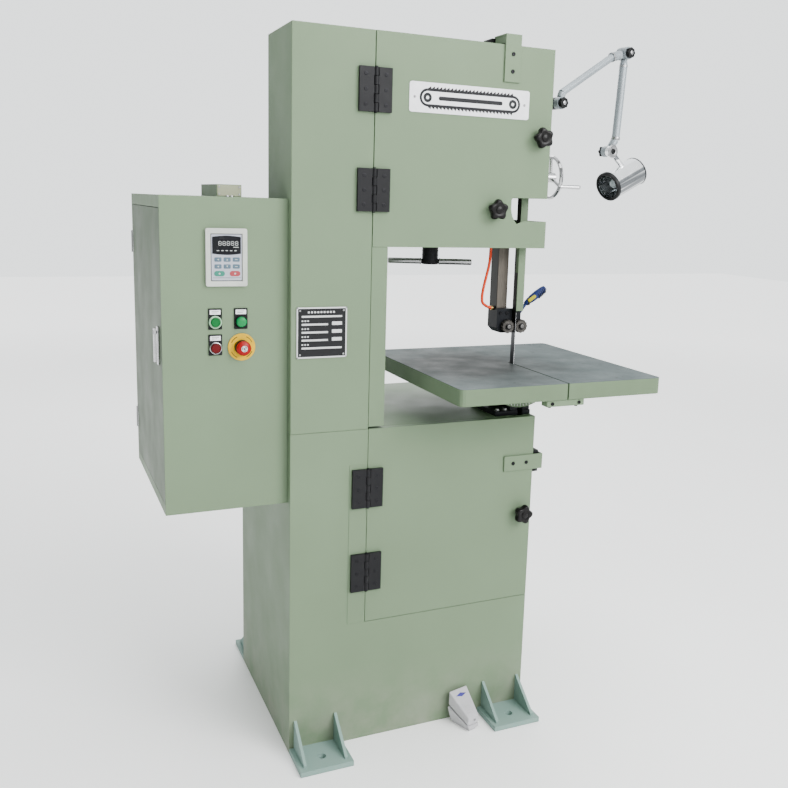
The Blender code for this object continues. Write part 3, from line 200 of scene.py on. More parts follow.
def camera():
    level = Vector((sin(CAMERA_HEADING), cos(CAMERA_HEADING), 0))
    ahead = level * cos(CAMERA_PITCH) + UP * sin(CAMERA_PITCH)
    flat = ahead.cross(UP).normalized()
    upright = flat.cross(ahead)
    right = flat * cos(CAMERA_ROLL) + upright * sin(CAMERA_ROLL)
    above = upright * cos(CAMERA_ROLL) - flat * sin(CAMERA_ROLL)
    data = bpy.data.cameras.new("camera")
    data.lens, data.sensor_width = CAMERA_LENS, 36.0
    data.shift_x, data.shift_y = CAMERA_SHIFT
    obj = add_object("camera", data)
    obj.matrix_world = Matrix.Translation(CAMERA_PLACE) @ Matrix(
        (right, above, -ahead)).transposed().to_4x4()
    bpy.context.scene.camera = obj


def sky():
    """An even bright sky behind the machine, a softer one in front with dim flags, and shade on the left."""
    world = bpy.data.worlds.new("studio")
    world.use_nodes = True
    look = Tree(world.node_tree, "Generated")
    axes = look.axes()
    flags = look.noise(3.4, 1.0, 0.5, look.stretched((1.0, 1.0, 0.12)))
    mix = look.fill(look.add("ShaderNodeMix"), B=SKY_BACK)
    look.join(look.spread(axes["Y"], 0.02, 0.3), mix.inputs["Factor"])
    look.join(look.spread(flags, 0.42, 0.56, SKY_FLAG, SKY_FRONT), mix.inputs["A"])
    side = look.spread(axes["X"], -0.2, -0.03, SKY_LEFT, 1.0)
    back = look.fill(world.node_tree.nodes["Background"], Color=SKY_COLOUR)
    look.join(look.math("MULTIPLY", mix.outputs["Result"], side), back.inputs["Strength"])
    bpy.context.scene.world = world


def studio():
    sky()
    for name, place, aim_height, size, watts in LAMPS:
        data = bpy.data.lights.new(name, "AREA")
        data.size, data.energy = size, watts
        aim = Vector((0, 0, aim_height)) - Vector(place)
        turn = aim.to_track_quat("-Z", "Y").to_matrix().to_4x4()
        add_object(name, data).matrix_world = Matrix.Translation(place) @ turn
    bm = bmesh.new()
    bmesh.ops.create_grid(bm, x_segments=1, y_segments=1, size=FLOOR_REACH)
    bmesh.ops.translate(bm, vec=(0, 0, -FLOOR_DROP), verts=bm.verts)
    mesh = bpy.data.meshes.new("floor")
    bm.to_mesh(mesh)
    bm.free()
    floor = add_object("floor", mesh)
    mesh.materials.append(LOOKS["floor"])


# ---- Materials ----------------------------------------------------------------------------------------
SAGE = (0.134, 0.188, 0.116)
FEET_COAT = (0.2, 0.31, 0.29)
FEET_OUT, FEET_TOP = 0.2665, 0.2
DUST, DUST_TOP = (0.3, 0.29, 0.25), 0.22
LAMP_TURN, SHADE_PITCH = radians(12), radians(-23.5)


def enamel(name, colour, roughness=0.42, edge=1.25, flake=1.0, feet=False):
    """Sprayed machine enamel: orange peel, faint cloudiness, rubbed edges and a little dust near the floor.

    With feet, what stands out past the base near the floor has a paler and bluer coat.
    """
    look = Look(name, colour, roughness, specular=ENAMEL_SPECULAR)
    tone = look.clouded(2.6, 5, colour, 0.94, 1.05)
    tone = look.tint(look.patches(160, 3, 0.7, 0.78, rough=0.6), tone, shade(colour, 0.78), 0.35)
    axes = look.axes()
    low = look.spread(axes["Z"], DUST_TOP, 0.0)
    dust = look.math("MULTIPLY", low, look.patches(14, 5, 0.35, 0.7, 0.0, 0.42))
    tone = look.tint(dust, tone, DUST)
    normal, rubbed = look.edges(0.0016)
    wear = look.math("MULTIPLY", rubbed, look.patches(30, 4, 0.4, 0.75, 0.15, 0.8))
    tone = look.tint(wear, tone, shade(colour, edge))
    if feet:
        outside = look.math("GREATER_THAN", look.math("ABSOLUTE", axes["Y"], 0.0), FEET_OUT)
        foot = look.math("MULTIPLY", outside, look.math("LESS_THAN", axes["Z"], FEET_TOP))
        tone = look.tint(foot, tone, FEET_COAT, 0.75)
    gloss = look.patches(9, 5, to_low=roughness - 0.05, to_high=roughness + 0.08)
    return look.finish(tone, gloss, look.noise(480, 2, 0.4), 0.00006, 0.5 * flake, normal)


def iron(name, colour, stain, machined=True):
    """Machined grey iron with fine milling lines and dark oil stains, or rough cast iron."""
    look = Look(name, colour, 0.38, 0.85)
    tone = look.clouded(3.2, 6, colour, 0.86, 1.14)
    tone = look.tint(look.patches(9, 8, 0.52, 0.72, rough=0.62), tone, stain, 0.75)
    tone = look.tint(look.patches(220, 3, 0.62, 0.74, rough=0.6), tone, shade(stain, 0.5), 0.45)
    rough = look.patches(14, 6, 0.3, 0.75, 0.3, 0.56)
    normal, _ = look.edges(0.001)
    if machined:
        lines = look.noise(60, 3, 0.6, look.stretched((1.0, 26.0, 1.0)))
        return look.finish(tone, rough, lines, 0.00006, 0.4, normal)
    return look.finish(tone, rough, look.noise(240, 4, 0.6), 0.0004, 0.6, normal)


def brushed(name, colour, roughness, stretch, metallic=1.0):
    """Drawn or brushed metal: grain along one direction, smudges across it."""
    look = Look(name, colour, roughness, metallic)
    grain = look.noise(55, 5, 0.65, look.stretched(stretch))
    tone = look.tint(look.spread(grain, 0.3, 0.7), shade(colour, 0.8), shade(colour, 1.18))
    tone = look.tint(look.patches(16, 6, 0.35, 0.72), tone, shade(colour, 0.55), 0.55)
    rough = look.spread(grain, 0.3, 0.7, roughness - 0.07, roughness + 0.12)
    normal, _ = look.edges(0.0008)
    return look.finish(tone, rough, grain, 0.00005, 0.35, normal)


def plated(name, colour, roughness):
    """Bright chrome plate with faint handling marks."""
    look = Look(name, colour, roughness, 1.0)
    marks = look.patches(38, 7, 0.45, 0.8, roughness - 0.03, roughness + 0.16, rough=0.7)
    tone = look.tint(look.patches(11, 4), shade(colour, 0.93), colour)
    normal, _ = look.edges(0.0006)
    return look.finish(tone, marks, look.noise(26, 2), 0.0001, 0.12, normal)


def moulded(name, colour, roughness, grain=420.0, depth=0.0001, strength=0.35, worn=1.4, metallic=0.0):
    """Moulded plastic: fine texture, slight colour drift and paler edges."""
    look = Look(name, colour, roughness, metallic, PRINT_SPECULAR)
    tone = look.clouded(18, 5, colour, 0.9, 1.08)
    normal, rubbed = look.edges(0.0008)
    tone = look.tint(rubbed, tone, shade(colour, worn), 0.45)
    gloss = look.patches(40, 5, 0.3, 0.75, roughness - 0.05, roughness + 0.1)
    return look.finish(tone, gloss, look.noise(grain, 3), depth, strength, normal)


def printed(name, colour, roughness=0.35, metallic=0.0):
    """A printed or enamelled flat surface with faint rubbing."""
    look = Look(name, colour, roughness, metallic, PRINT_SPECULAR)
    tone = look.tint(look.patches(45, 6, 0.35, 0.75, rough=0.6), colour, shade(colour, 0.88))
    gloss = look.patches(60, 4, to_low=roughness - 0.06, to_high=roughness + 0.1)
    return look.finish(tone, gloss, look.noise(300, 2), 0.00003, 0.3)


def satin(name, colour, roughness):
    """Drawn aluminium tube with a soft sheen and faint handling marks."""
    look = Look(name, colour, roughness, 0.35)
    tone = look.clouded(12, 2, colour, 0.92, 1.06)
    return look.finish(tone, look.patches(14, 2, 0.3, 0.75, roughness - 0.03, roughness + 0.05))


def post_steel():
    """Blackened drawn bar, browned on its face, with upright grain, darker oiled bands and painted shade on its
    left face.
    """
    look = Look("post_steel", (0.09, 0.08, 0.07), 0.4, 0.6, 0.25)
    grain = look.noise(70, 5, 0.65, look.stretched((14.0, 14.0, 0.6)))
    tone = look.tint(look.spread(grain, 0.3, 0.7), (0.06, 0.052, 0.043), (0.122, 0.107, 0.09))
    oil = look.spread(look.noise(9, 7, 0.6, look.stretched((1.0, 1.0, 0.45))), 0.48, 0.7)
    tone = look.tint(oil, tone, (0.03, 0.03, 0.026), 0.7)
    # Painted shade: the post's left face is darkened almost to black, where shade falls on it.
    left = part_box("guide_post")[0].x
    side = look.spread(look.axes()["X"], left + 0.0016, left + 0.0006)
    tone = look.tint(side, tone, (0.005, 0.007, 0.006), 0.9)
    normal, _ = look.edges(0.0009)
    return look.finish(tone, look.spread(grain, 0.3, 0.7, 0.34, 0.5), grain, 0.00006, 0.4, normal)


def floor_look():
    """A pale floor that glows a little far from the machine, so that it meets the sky softly."""
    look = Look("floor", (0.93, 0.93, 0.925), 0.85, specular=0.1, Emission_Color=(1, 1, 1, 1))
    tone = look.tint(look.patches(1.4, 3), (0.92, 0.92, 0.915), (0.94, 0.94, 0.935))
    glow = look.spread(look.distance().outputs["Value"], 1.6, 8.0, 0.08, 1.05)
    look.join(glow, look.shader.inputs["Emission Strength"])
    return look.finish(tone)


def shade_chrome():
    """Polished shade with painted reflections: bright and dark bands in its colour, drawn out along the lamp's own
    axis.
    """
    look = Look("lamp_chrome", (0.7, 0.71, 0.72), 0.2, 1.0)
    turned = look.fill(
        look.add("ShaderNodeMapping", vector_type="TEXTURE"), Rotation=(0.0, SHADE_PITCH, LAMP_TURN))
    look.join(look.place, turned.inputs["Vector"])
    drawn = look.stretched((0.02, 1.0, 1.0), turned.outputs["Vector"])
    # Painted reflections: noise bands run the colour between near black and near white along the shade.
    bands = look.spread(look.noise(60, 1.5, 0.5, drawn), 0.38, 0.48)
    tone = look.tint(bands, (0.17, 0.18, 0.19), (0.9, 0.91, 0.92))
    return look.finish(tone, look.patches(38, 7, 0.45, 0.8, 0.14, 0.3, rough=0.7))


def glass():
    look = Look("lamp_glass", (0.8, 0.85, 0.86), 0.08, Transmission_Weight=1.0, IOR=1.12)
    ribs = look.noise(90, 2)
    return look.finish(
        roughness=look.spread(ribs, 0.3, 0.7, 0.03, 0.16), height=ribs, depth=0.0004, strength=0.2)


def table_look():
    """The table: machined grey iron on top, stained where work has lain, and enamel on its sides."""
    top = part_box("table")[1].z
    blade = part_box("blade")
    look = Look("table", (0.12, 0.13, 0.13), 0.45, specular=TABLE_SPECULAR)
    machined = look.spread(look.axes()["Z"], top - 0.0011, top - 0.0007)
    iron_tone = look.tint(look.patches(3, 6), (0.056, 0.072, 0.073), (0.098, 0.12, 0.121))
    worn = look.distance("DISTANCE")
    worn.inputs[1].default_value = (blade[1].x - 0.13, blade[0].y + 0.01, top)
    wobble = look.math("MULTIPLY", look.noise(8, 6, 0.6), 0.22)
    used = look.spread(look.math("ADD", worn.outputs["Value"], wobble), 0.23, 0.43, 1.0, 0.0)
    stains = look.math("MULTIPLY", look.patches(7.5, 9, 0.54, 0.68, rough=0.66), 0.35)
    stains = look.math("MAXIMUM", stains, look.math("MULTIPLY", used, 0.78))
    iron_tone = look.tint(stains, iron_tone, (0.012, 0.0115, 0.01))
    iron_tone = look.tint(look.patches(60, 6, 0.56, 0.74, rough=0.7), iron_tone, (0.022, 0.024, 0.022), 0.5)
    paint = look.clouded(4, 5, SAGE, 0.8, 0.95)
    paint = look.tint(look.patches(70, 5, 0.66, 0.72, rough=0.6), paint, (0.1, 0.11, 0.1), 0.6)
    lines = look.noise(60, 3, 0.6, look.stretched((1.0, 30.0, 1.0)))
    normal, _ = look.edges(0.0014)
    rough = look.patches(14, 6, 0.3, 0.75, 0.4, 0.6)
    return look.finish(look.tint(machined, paint, iron_tone), rough, lines, 0.00006, 0.45, normal)


# Each kind of finish, and the values after the name that make each look of that kind.
FINISHES = {
    enamel: {
        "green_paint": (SAGE,),
        # Painted shade: a darker copy of the green enamel for the cabinet's left side door, where shade falls.
        "side_paint": (shade(SAGE, 0.62),),
        "base_paint": (SAGE, 0.42, 1.25, 1.0, True),
        "cream_paint": ((0.3, 0.315, 0.215), 0.42, 1.1),
        "black_paint": ((0.008, 0.009, 0.011), 0.34, 2.4, 0.8),
        "dark_handle": ((0.009, 0.009, 0.0105), 0.34, 2.2),
    },
    iron: {
        "cast_iron": ((0.22, 0.225, 0.23), (0.05, 0.05, 0.048)),
        "rough_iron": ((0.1, 0.104, 0.108), (0.035, 0.035, 0.034), False),
    },
    brushed: {
        "roller_steel": ((0.06, 0.055, 0.05), 0.42, (6.0, 1.0, 6.0), 0.6),
        "blade_steel": ((0.085, 0.085, 0.09), 0.34, (9.0, 9.0, 0.5)),
        "tooth_steel": ((0.48, 0.48, 0.49), 0.26, (1.0, 9.0, 1.0)),
        "bright_steel": ((0.34, 0.34, 0.345), 0.3, (5.0, 5.0, 1.0)),
        "screw_black": ((0.02, 0.02, 0.022), 0.42, (5.0, 1.0, 5.0)),
        "dull_steel": ((0.13, 0.125, 0.12), 0.38, (5.0, 5.0, 1.0), 0.7),
        "brass": ((0.55, 0.38, 0.15), 0.28, (5.0, 5.0, 1.0)),
    },
    plated: {
        "chrome": ((0.46, 0.46, 0.465), 0.2),
        "reflector": ((0.38, 0.38, 0.39), 0.16),
    },
    satin: {"lamp_tube": ((0.23, 0.26, 0.28), 0.4)},
    moulded: {
        "motor_casting": ((0.19, 0.205, 0.215), 0.42, 260.0, 0.0004, 0.5, 1.3, 0.6),
        "hinge_plastic": ((0.007, 0.007, 0.008), 0.42, 520.0, 0.00018, 0.5, 3.0),
        "knob_plastic": ((0.005, 0.0045, 0.0045), 0.27, 260.0, 0.00006, 0.25, 3.0),
        "grey_plastic": ((0.44, 0.46, 0.42), 0.46, 500.0),
        "pedal_plastic": ((0.42, 0.415, 0.43), 0.44, 300.0, 0.00015, 0.35, 1.2),
        "red_plastic": ((0.23, 0.0015, 0.002), 0.3, 200.0, 0.00005, 0.2, 1.5),
        "dark_red": ((0.085, 0.002, 0.003), 0.3, 200.0, 0.00005, 0.2, 1.5),
        "green_plastic": ((0.001, 0.105, 0.022), 0.3, 200.0, 0.00005, 0.2, 1.5),
        "green_lens": ((0.001, 0.17, 0.045), 0.22, 120.0, 0.00008, 0.2, 1.3),
        "green_ring": ((0.3, 0.5, 0.32), 0.32, 200.0, 0.00005, 0.2, 1.2),
        "yellow_plastic": ((0.56, 0.33, 0.001), 0.42, 300.0),
        "blue_plastic": ((0.006, 0.016, 0.085), 0.36, 240.0, 0.0001, 0.4, 2.0),
        "yellow_insert": ((0.36, 0.31, 0.0004), 0.4, 240.0),
        "red_hose": ((0.62, 0.05, 0.014), 0.3, 90.0, 0.0001, 0.2, 1.2),
        "belt_rubber": ((0.016, 0.016, 0.017), 0.66, 320.0, 0.0003, 0.5, 2.0),
        "tyre_rubber": ((0.035, 0.033, 0.032), 0.6, 260.0, 0.0003, 0.5, 1.8),
        "black_rubber": ((0.0055, 0.006, 0.0065), 0.38, 260.0, 0.0002, 0.4, 2.5),
    },
    printed: {
        "white_plate": ((0.78, 0.78, 0.8), 0.34),
        "ink": ((0.008, 0.0085, 0.01), 0.4),
        "black_plate": ((0.01, 0.0105, 0.0115), 0.36),
        "silver_print": ((0.55, 0.56, 0.56), 0.34, 0.3),
        "panel_face": ((0.36, 0.38, 0.43), 0.38),
        "display": ((0.006, 0.0065, 0.008), 0.2),
        "display_marks": ((0.42, 0.44, 0.43), 0.34),
        "key_blue": ((0.075, 0.12, 0.155), 0.42),
        "key_green": ((0.03, 0.18, 0.13), 0.42),
        "key_red": ((0.29, 0.045, 0.055), 0.42),
        "blue_print": ((0.05, 0.045, 0.23), 0.42),
    },
}
LOOKS = {name: make(name, *values) for make, rows in FINISHES.items() for name, values in rows.items()}
LOOKS.update(
    floor=floor_look(), bare_steel=post_steel(), lamp_chrome=shade_chrome(), lamp_glass=glass(),
    table=table_look())


# ---- Mesh tools ---------------------------------------------------------------------------------------
def facing(origin, right, up):
    """A place whose local X, Y and Z are these right and up directions and the one they face."""
    right, up = Vector(right).normalized(), Vector(up).normalized()
    return Matrix.Translation(origin) @ Matrix((right, up, right.cross(up))).transposed().to_4x4()


def front(x, z, y):
    return facing((x, y, z), (1, 0, 0), (0, 0, 1))


def rear(x, z, y):
    return facing((x, y, z), (-1, 0, 0), (0, 0, 1))


def along(start, direction, up=(0, 0, 1)):
    """A place whose local Z runs along this direction."""
    direction, up = Vector(direction).normalized(), Vector(up)
    right = up.cross(direction).normalized()
    return facing(start, right, direction.cross(right))


def arc(centre, radius, start, end, steps):
    turns = [radians(start + (end - start) * step / steps) for step in range(steps + 1)]
    return [(centre[0] + radius * cos(turn), centre[1] + radius * sin(turn)) for turn in turns]


def oblong(x0, y0, x1, y1, radius, steps=4):
    points = arc((x1 - radius, y0 + radius), radius, -90, 0, steps)
    points += arc((x1 - radius, y1 - radius), radius, 0, 90, steps)
    points += arc((x0 + radius, y1 - radius), radius, 90, 180, steps)
    return points + arc((x0 + radius, y0 + radius), radius, 180, 270, steps)


def inset(outline, amount):
    moved = []
    for index, (x, y) in enumerate(outline):
        before, after = outline[index - 1], outline[(index + 1) % len(outline)]
        first = Vector((x - before[0], y - before[1])).normalized()
        second = Vector((after[0] - x, after[1] - y)).normalized()
        inward = Vector((-first.y - second.y, first.x + second.x))
        reach = amount / max(inward.length / 2, 0.5)
        inward.normalize()
        moved.append((x + inward.x * reach, y + inward.y * reach))
    return moved


def slab(bm, outline, low, high, place, soften=0.0003):
    """A flat outline, counter-clockwise, raised from one height to another with a softened upper edge."""
    levels = [(outline, low), (outline, high - soften), (inset(outline, soften), high)]
    loops = [[bm.verts.new(place @ Vector((x, y, height))) for x, y in points] for points, height in levels]
    count = len(outline)
    for lower, upper in zip(loops, loops[1:]):
        for index in range(count):
            after = (index + 1) % count
            bm.faces.new((lower[index], lower[after], upper[after], upper[index]))
    bm.faces.new(loops[0][::-1])
    bm.faces.new(loops[-1])


def rings(bm, profile, place, steps=28, closed=False):
    """Rings of (radius, height) about a place's Z. A radius can be a function of the angle; 0 is a pole."""
    loops = []
    for radius, height in profile:
        if radius == 0:
            loops.append([bm.verts.new(place @ Vector((0, 0, height)))])
            continue
        loop = []
        for step in range(steps):
            angle = 2 * pi * step / steps
            reach = radius(angle) if callable(radius) else radius
            loop.append(bm.verts.new(place @ Vector((reach * cos(angle), reach * sin(angle), height))))
        loops.append(loop)
    following = loops[1:] + loops[:1] if closed else loops[1:]
    for first, second in zip(loops, following):
        for step in range(steps):
            after = (step + 1) % steps
            corners = (first[step % len(first)], first[after % len(first)],
                       second[after % len(second)], second[step % len(second)])
            bm.faces.new(tuple(dict.fromkeys(corners)))


def washer(bm, outer, inner, low, high, place, steps=36, soften=0.0003):
    rings(bm, [
        (inner, low), (outer, low), (outer, high - soften), (outer - soften, high), (inner + soften, high),
        (inner, high - soften)
    ], place, steps, closed=True)


def tube(bm, points, radius, steps=12):
    """A round bar along a list of points, its ends closed."""
    points = [Vector(point) for point in points]
    turns = [2 * pi * step / steps for step in range(steps)]
    across = None
    loops = []
    for index, point in enumerate(points):
        ahead = points[min(index + 1, len(points) - 1)] - points[max(index - 1, 0)]
        ahead.normalize()
        if across is None:
            across = ahead.orthogonal().normalized()
        across = (across - ahead * across.dot(ahead)).normalized()
        other = ahead.cross(across)
        loops.append([
            bm.verts.new(point + (across * cos(turn) + other * sin(turn)) * radius) for turn in turns
        ])
    for first, second in zip(loops, loops[1:]):
        for step in range(steps):
            after = (step + 1) % steps
            bm.faces.new((first[step], first[after], second[after], second[step]))
    bm.faces.new(loops[0][::-1])
    bm.faces.new(loops[-1])


def hexagon(radius):
    return lambda angle: radius * cos(pi / 6) / cos((angle % (pi / 3)) - pi / 6)


def lobed(radius, lobes, lift, turn=0.0):
    return lambda angle: radius + lift * cos(lobes * (angle - turn))


def boxed(right, high, left, low):
    """The distance from a point to the edge of the box around it, at each angle."""
    def reach(angle):
        across, upward = cos(angle), sin(angle)
        sides = ((right, across), (high, upward), (left, across), (low, upward))
        return min(side / part for side, part in sides if side * part > 1e-9)
    return reach


def socket_screw(bm, place, radius, height):
    rings(bm, [
        (0, -0.0004), (radius, -0.0004), (radius, height * 0.75), (radius * 0.9, height),
        (hexagon(radius * 0.55), height), (hexagon(radius * 0.52), height * 0.35), (0, height * 0.3)
    ], place, 24)


def sunk_screw(bm, place, radius):
    rings(bm, [
        (0, -0.001), (radius, -0.001), (radius, 0.0004), (radius * 0.9, 0.0007),
        (hexagon(radius * 0.48), 0.0006), (hexagon(radius * 0.44), -0.0005), (0, -0.0006)
    ], place, 24)


def bolt(bm, place, radius, height):
    rings(bm, [
        (0, -0.0004), (radius * 1.3, -0.0004), (radius * 1.3, 0.001), (radius * 1.25, 0.0013),
        (hexagon(radius), 0.0013), (hexagon(radius), height * 0.85), (radius * 0.82, height), (0, height)
    ], place, 24)


def rivet(bm, place, radius):
    rings(bm, [
        (0, -0.0004), (radius, -0.0004), (radius * 0.96, radius * 0.25), (radius * 0.7, radius * 0.5),
        (radius * 0.35, radius * 0.62), (0, radius * 0.65)
    ], place, 16)


def piece(name, bm, look, body, smooth=35):
    """Shows a mesh with this look; it rides on a body."""
    bmesh.ops.recalc_face_normals(bm, faces=bm.faces)
    mesh = bpy.data.meshes.new(name)
    bm.to_mesh(mesh)
    bm.free()
    mesh.shade_smooth()
    mesh.set_sharp_from_angle(angle=radians(smooth))
    mesh.materials.append(LOOKS[look])
    obj = add_object(name, mesh)
    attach(obj, body)
    return obj


def turned(name, profile, place, look, body, slot, steps=28, closed=False, smooth=35):
    """A piece made of one set of rings."""
    bm = bmesh.new()
    rings(bm, profile, place, steps, closed)
    return piece(name, bm, look, body, smooth)


def fasteners(name, kind, places, sizes, look, body):
    """A piece of equal screws, bolts or rivets, one at each place."""
    bm = bmesh.new()
    for place in places:
        kind(bm, place, *sizes)
    return piece(name, bm, look, body)


def face_of(node):
    """A place at the lower left corner of a node's front face, and the face's width and height."""
    low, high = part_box(node)
    return front(low.x, low.z, low.y), high.x - low.x, high.z - low.z


def shifted(place, x, y, z=0.0):
    return place @ Matrix.Translation((x, y, z))


def inked(bm, outline, place):
    """A thin printed shape on a plate's face."""
    slab(bm, outline, -0.0001, 0.0003, place, 0.0001)


def lit(bm, outline, place):
    """A thin mark on the display's face."""
    slab(bm, outline, -0.0005, -0.0003, place, 0.00005)


def joint(name):
    found = [each for each in frame["joints"] if each["name"] == name][0]
    return Vector(found["pos_m"]), Vector(found["axis"])


def middle(node):
    low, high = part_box(node)
    return (low + high) / 2


# ---- CAD nodes ----------------------------------------------------------------------------------------
NODE_LOOKS = {
    "pilot_lamp": "green_lens", "lower_bearing_housing": "rough_iron", "wheel_carriage": "rough_iron",
    "upper_wheel": "rough_iron", "lower_wheel": "rough_iron", "left_guide_roller": "roller_steel",
    "right_guide_roller": "roller_steel", "table": "table", "base_housing": "base_paint",
    # The cabinet door, on the left side, takes the painted shade copy of the green enamel.
    "stop_button": "dark_red", "cabinet_door": "side_paint",
}


def dress_nodes():
    for row in frame["record"]["subparts"]:
        node = frame["nodes"][row["node"]]
        look = LOOKS[NODE_LOOKS.get(row["node"], row["material_slot"])]
        node.data.materials.clear()
        node.data.materials.append(look)
        for face in node.data.polygons:
            face.material_index = 0
        node.data.shade_smooth()
        node.data.set_sharp_from_angle(angle=radians(32))


# ---- Doors, hinges and brackets -----------------------------------------------------------------------
# A leaf's face behind its knuckles, and its screws' distances from its ends and its long edge.
LEAF_FACE, LEAF_END, LEAF_EDGE = 0.0035, 0.017, 0.016


def hinge_screws():
    """Countersunk screws in both leaves of every hinge, and the pins' end caps."""
    on_frame, on_doors = bmesh.new(), {"upper": bmesh.new(), "lower": bmesh.new()}
    for door in ("upper", "lower"):
        for end in ("top", "bottom"):
            low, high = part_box(f"{door}_{end}_hinge_frame_leaf")
            face_y = low.y + LEAF_FACE
            pin, _ = joint(f"{door}_door_hinge")
            for z in (low.z + LEAF_END, (low.z + high.z) / 2, high.z - LEAF_END):
                sunk_screw(on_frame, front(low.x + LEAF_EDGE, z, face_y), 0.0048)
            for z, height in ((low.z, -0.003), (high.z, 0.003)):
                rings(on_frame, [
                    (0, 0), (0.0046, 0), (0.004, height * 0.7), (0, height)
                ], Matrix.Translation((pin.x, pin.y, z)), 16)
            low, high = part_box(f"{door}_{end}_hinge_door_leaf")
            for z in (low.z + LEAF_END, (low.z + high.z) / 2, high.z - LEAF_END):
                sunk_screw(on_doors[door], front(high.x - LEAF_EDGE, z, face_y), 0.0048)
    piece("frame_hinge_screws", on_frame, "screw_black", "frame")
    for door, bm in on_doors.items():
        piece(f"{door}_door_hinge_screws", bm, "screw_black", f"{door}_door")


def knobs():
    """Dished five-lobed grips with round edges and a centre cap."""
    turns = {"upper": 35, "middle": 20, "lower": 1}
    for name, turn in turns.items():
        centre, _ = joint(f"{name}_knob_turn")
        place = front(centre.x, centre.z, centre.y)
        turn = radians(turn)

        def lobe(radius, lift=0.0032):
            return lobed(radius, 5, lift * radius / 0.0245, turn)

        grip = turned(f"{name}_knob_grip", [
            (0, -0.018), (0.004, -0.018), (0.004, 0.0004), (0.013, 0.0005), (0.013, 0.012),
            (lobe(0.0195), 0.0135), (lobe(0.0232), 0.015), (lobe(0.0245), 0.018), (lobe(0.0247), 0.024),
            (lobe(0.0242), 0.029), (lobe(0.0222), 0.0325), (lobe(0.019), 0.0338), (0.0125, 0.0326),
            (0.01, 0.0316), (0.0096, 0.033), (0.0088, 0.0336), (0, 0.0338)
        ], place, "knob_plastic", f"{name}_knob", "knob_plastic", 60, smooth=50)
        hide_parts(f"{name}_knob")


STRAP_SCREW = (0.0052, 0.0022)


def brackets():
    """Screws through the interlock straps, and the switches that they reach."""
    low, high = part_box("upper_interlock_bracket")
    places = [front((low.x + high.x) / 2, z, low.y) for z in (low.z + 0.026, low.z + 0.0685)]
    fasteners(
        "upper_bracket_screws", socket_screw, places, STRAP_SCREW, "screw_black", "upper_door")
    head_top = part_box("head_housing")[1].z
    bm = bmesh.new()
    case = oblong(low.x - 0.004, high.y + 0.006, high.x + 0.004, high.y + 0.056, 0.003)
    slab(bm, case, head_top, head_top + 0.0235, Matrix(), 0.001)
    nose = oblong(low.x + 0.012, high.y + 0.0015, high.x - 0.012, high.y + 0.008, 0.001)
    slab(bm, nose, head_top + 0.004, head_top + 0.018, Matrix(), 0.001)
    for x in (low.x + 0.003, high.x - 0.003):
        rivet(bm, Matrix.Translation((x, high.y + 0.031, head_top + 0.0235)), 0.0024)
    piece("upper_door_switch", bm, "black_rubber", "frame")
    low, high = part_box("lower_interlock_bracket")
    places = [front(x, (low.z + high.z) / 2, low.y) for x in (low.x + 0.028, low.x + 0.07)]
    fasteners(
        "lower_bracket_screws", socket_screw, places, STRAP_SCREW, "screw_black", "lower_door")
    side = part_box("base_housing")[1].x
    bm = bmesh.new()
    slab(bm, oblong(low.y + 0.01, low.z - 0.012, high.y + 0.02, high.z + 0.008, 0.003), 0.0002, 0.0205,
         facing((side, 0, 0), (0, 1, 0), (0, 0, 1)), 0.001)
    piece("lower_door_switch", bm, "black_rubber", "frame")


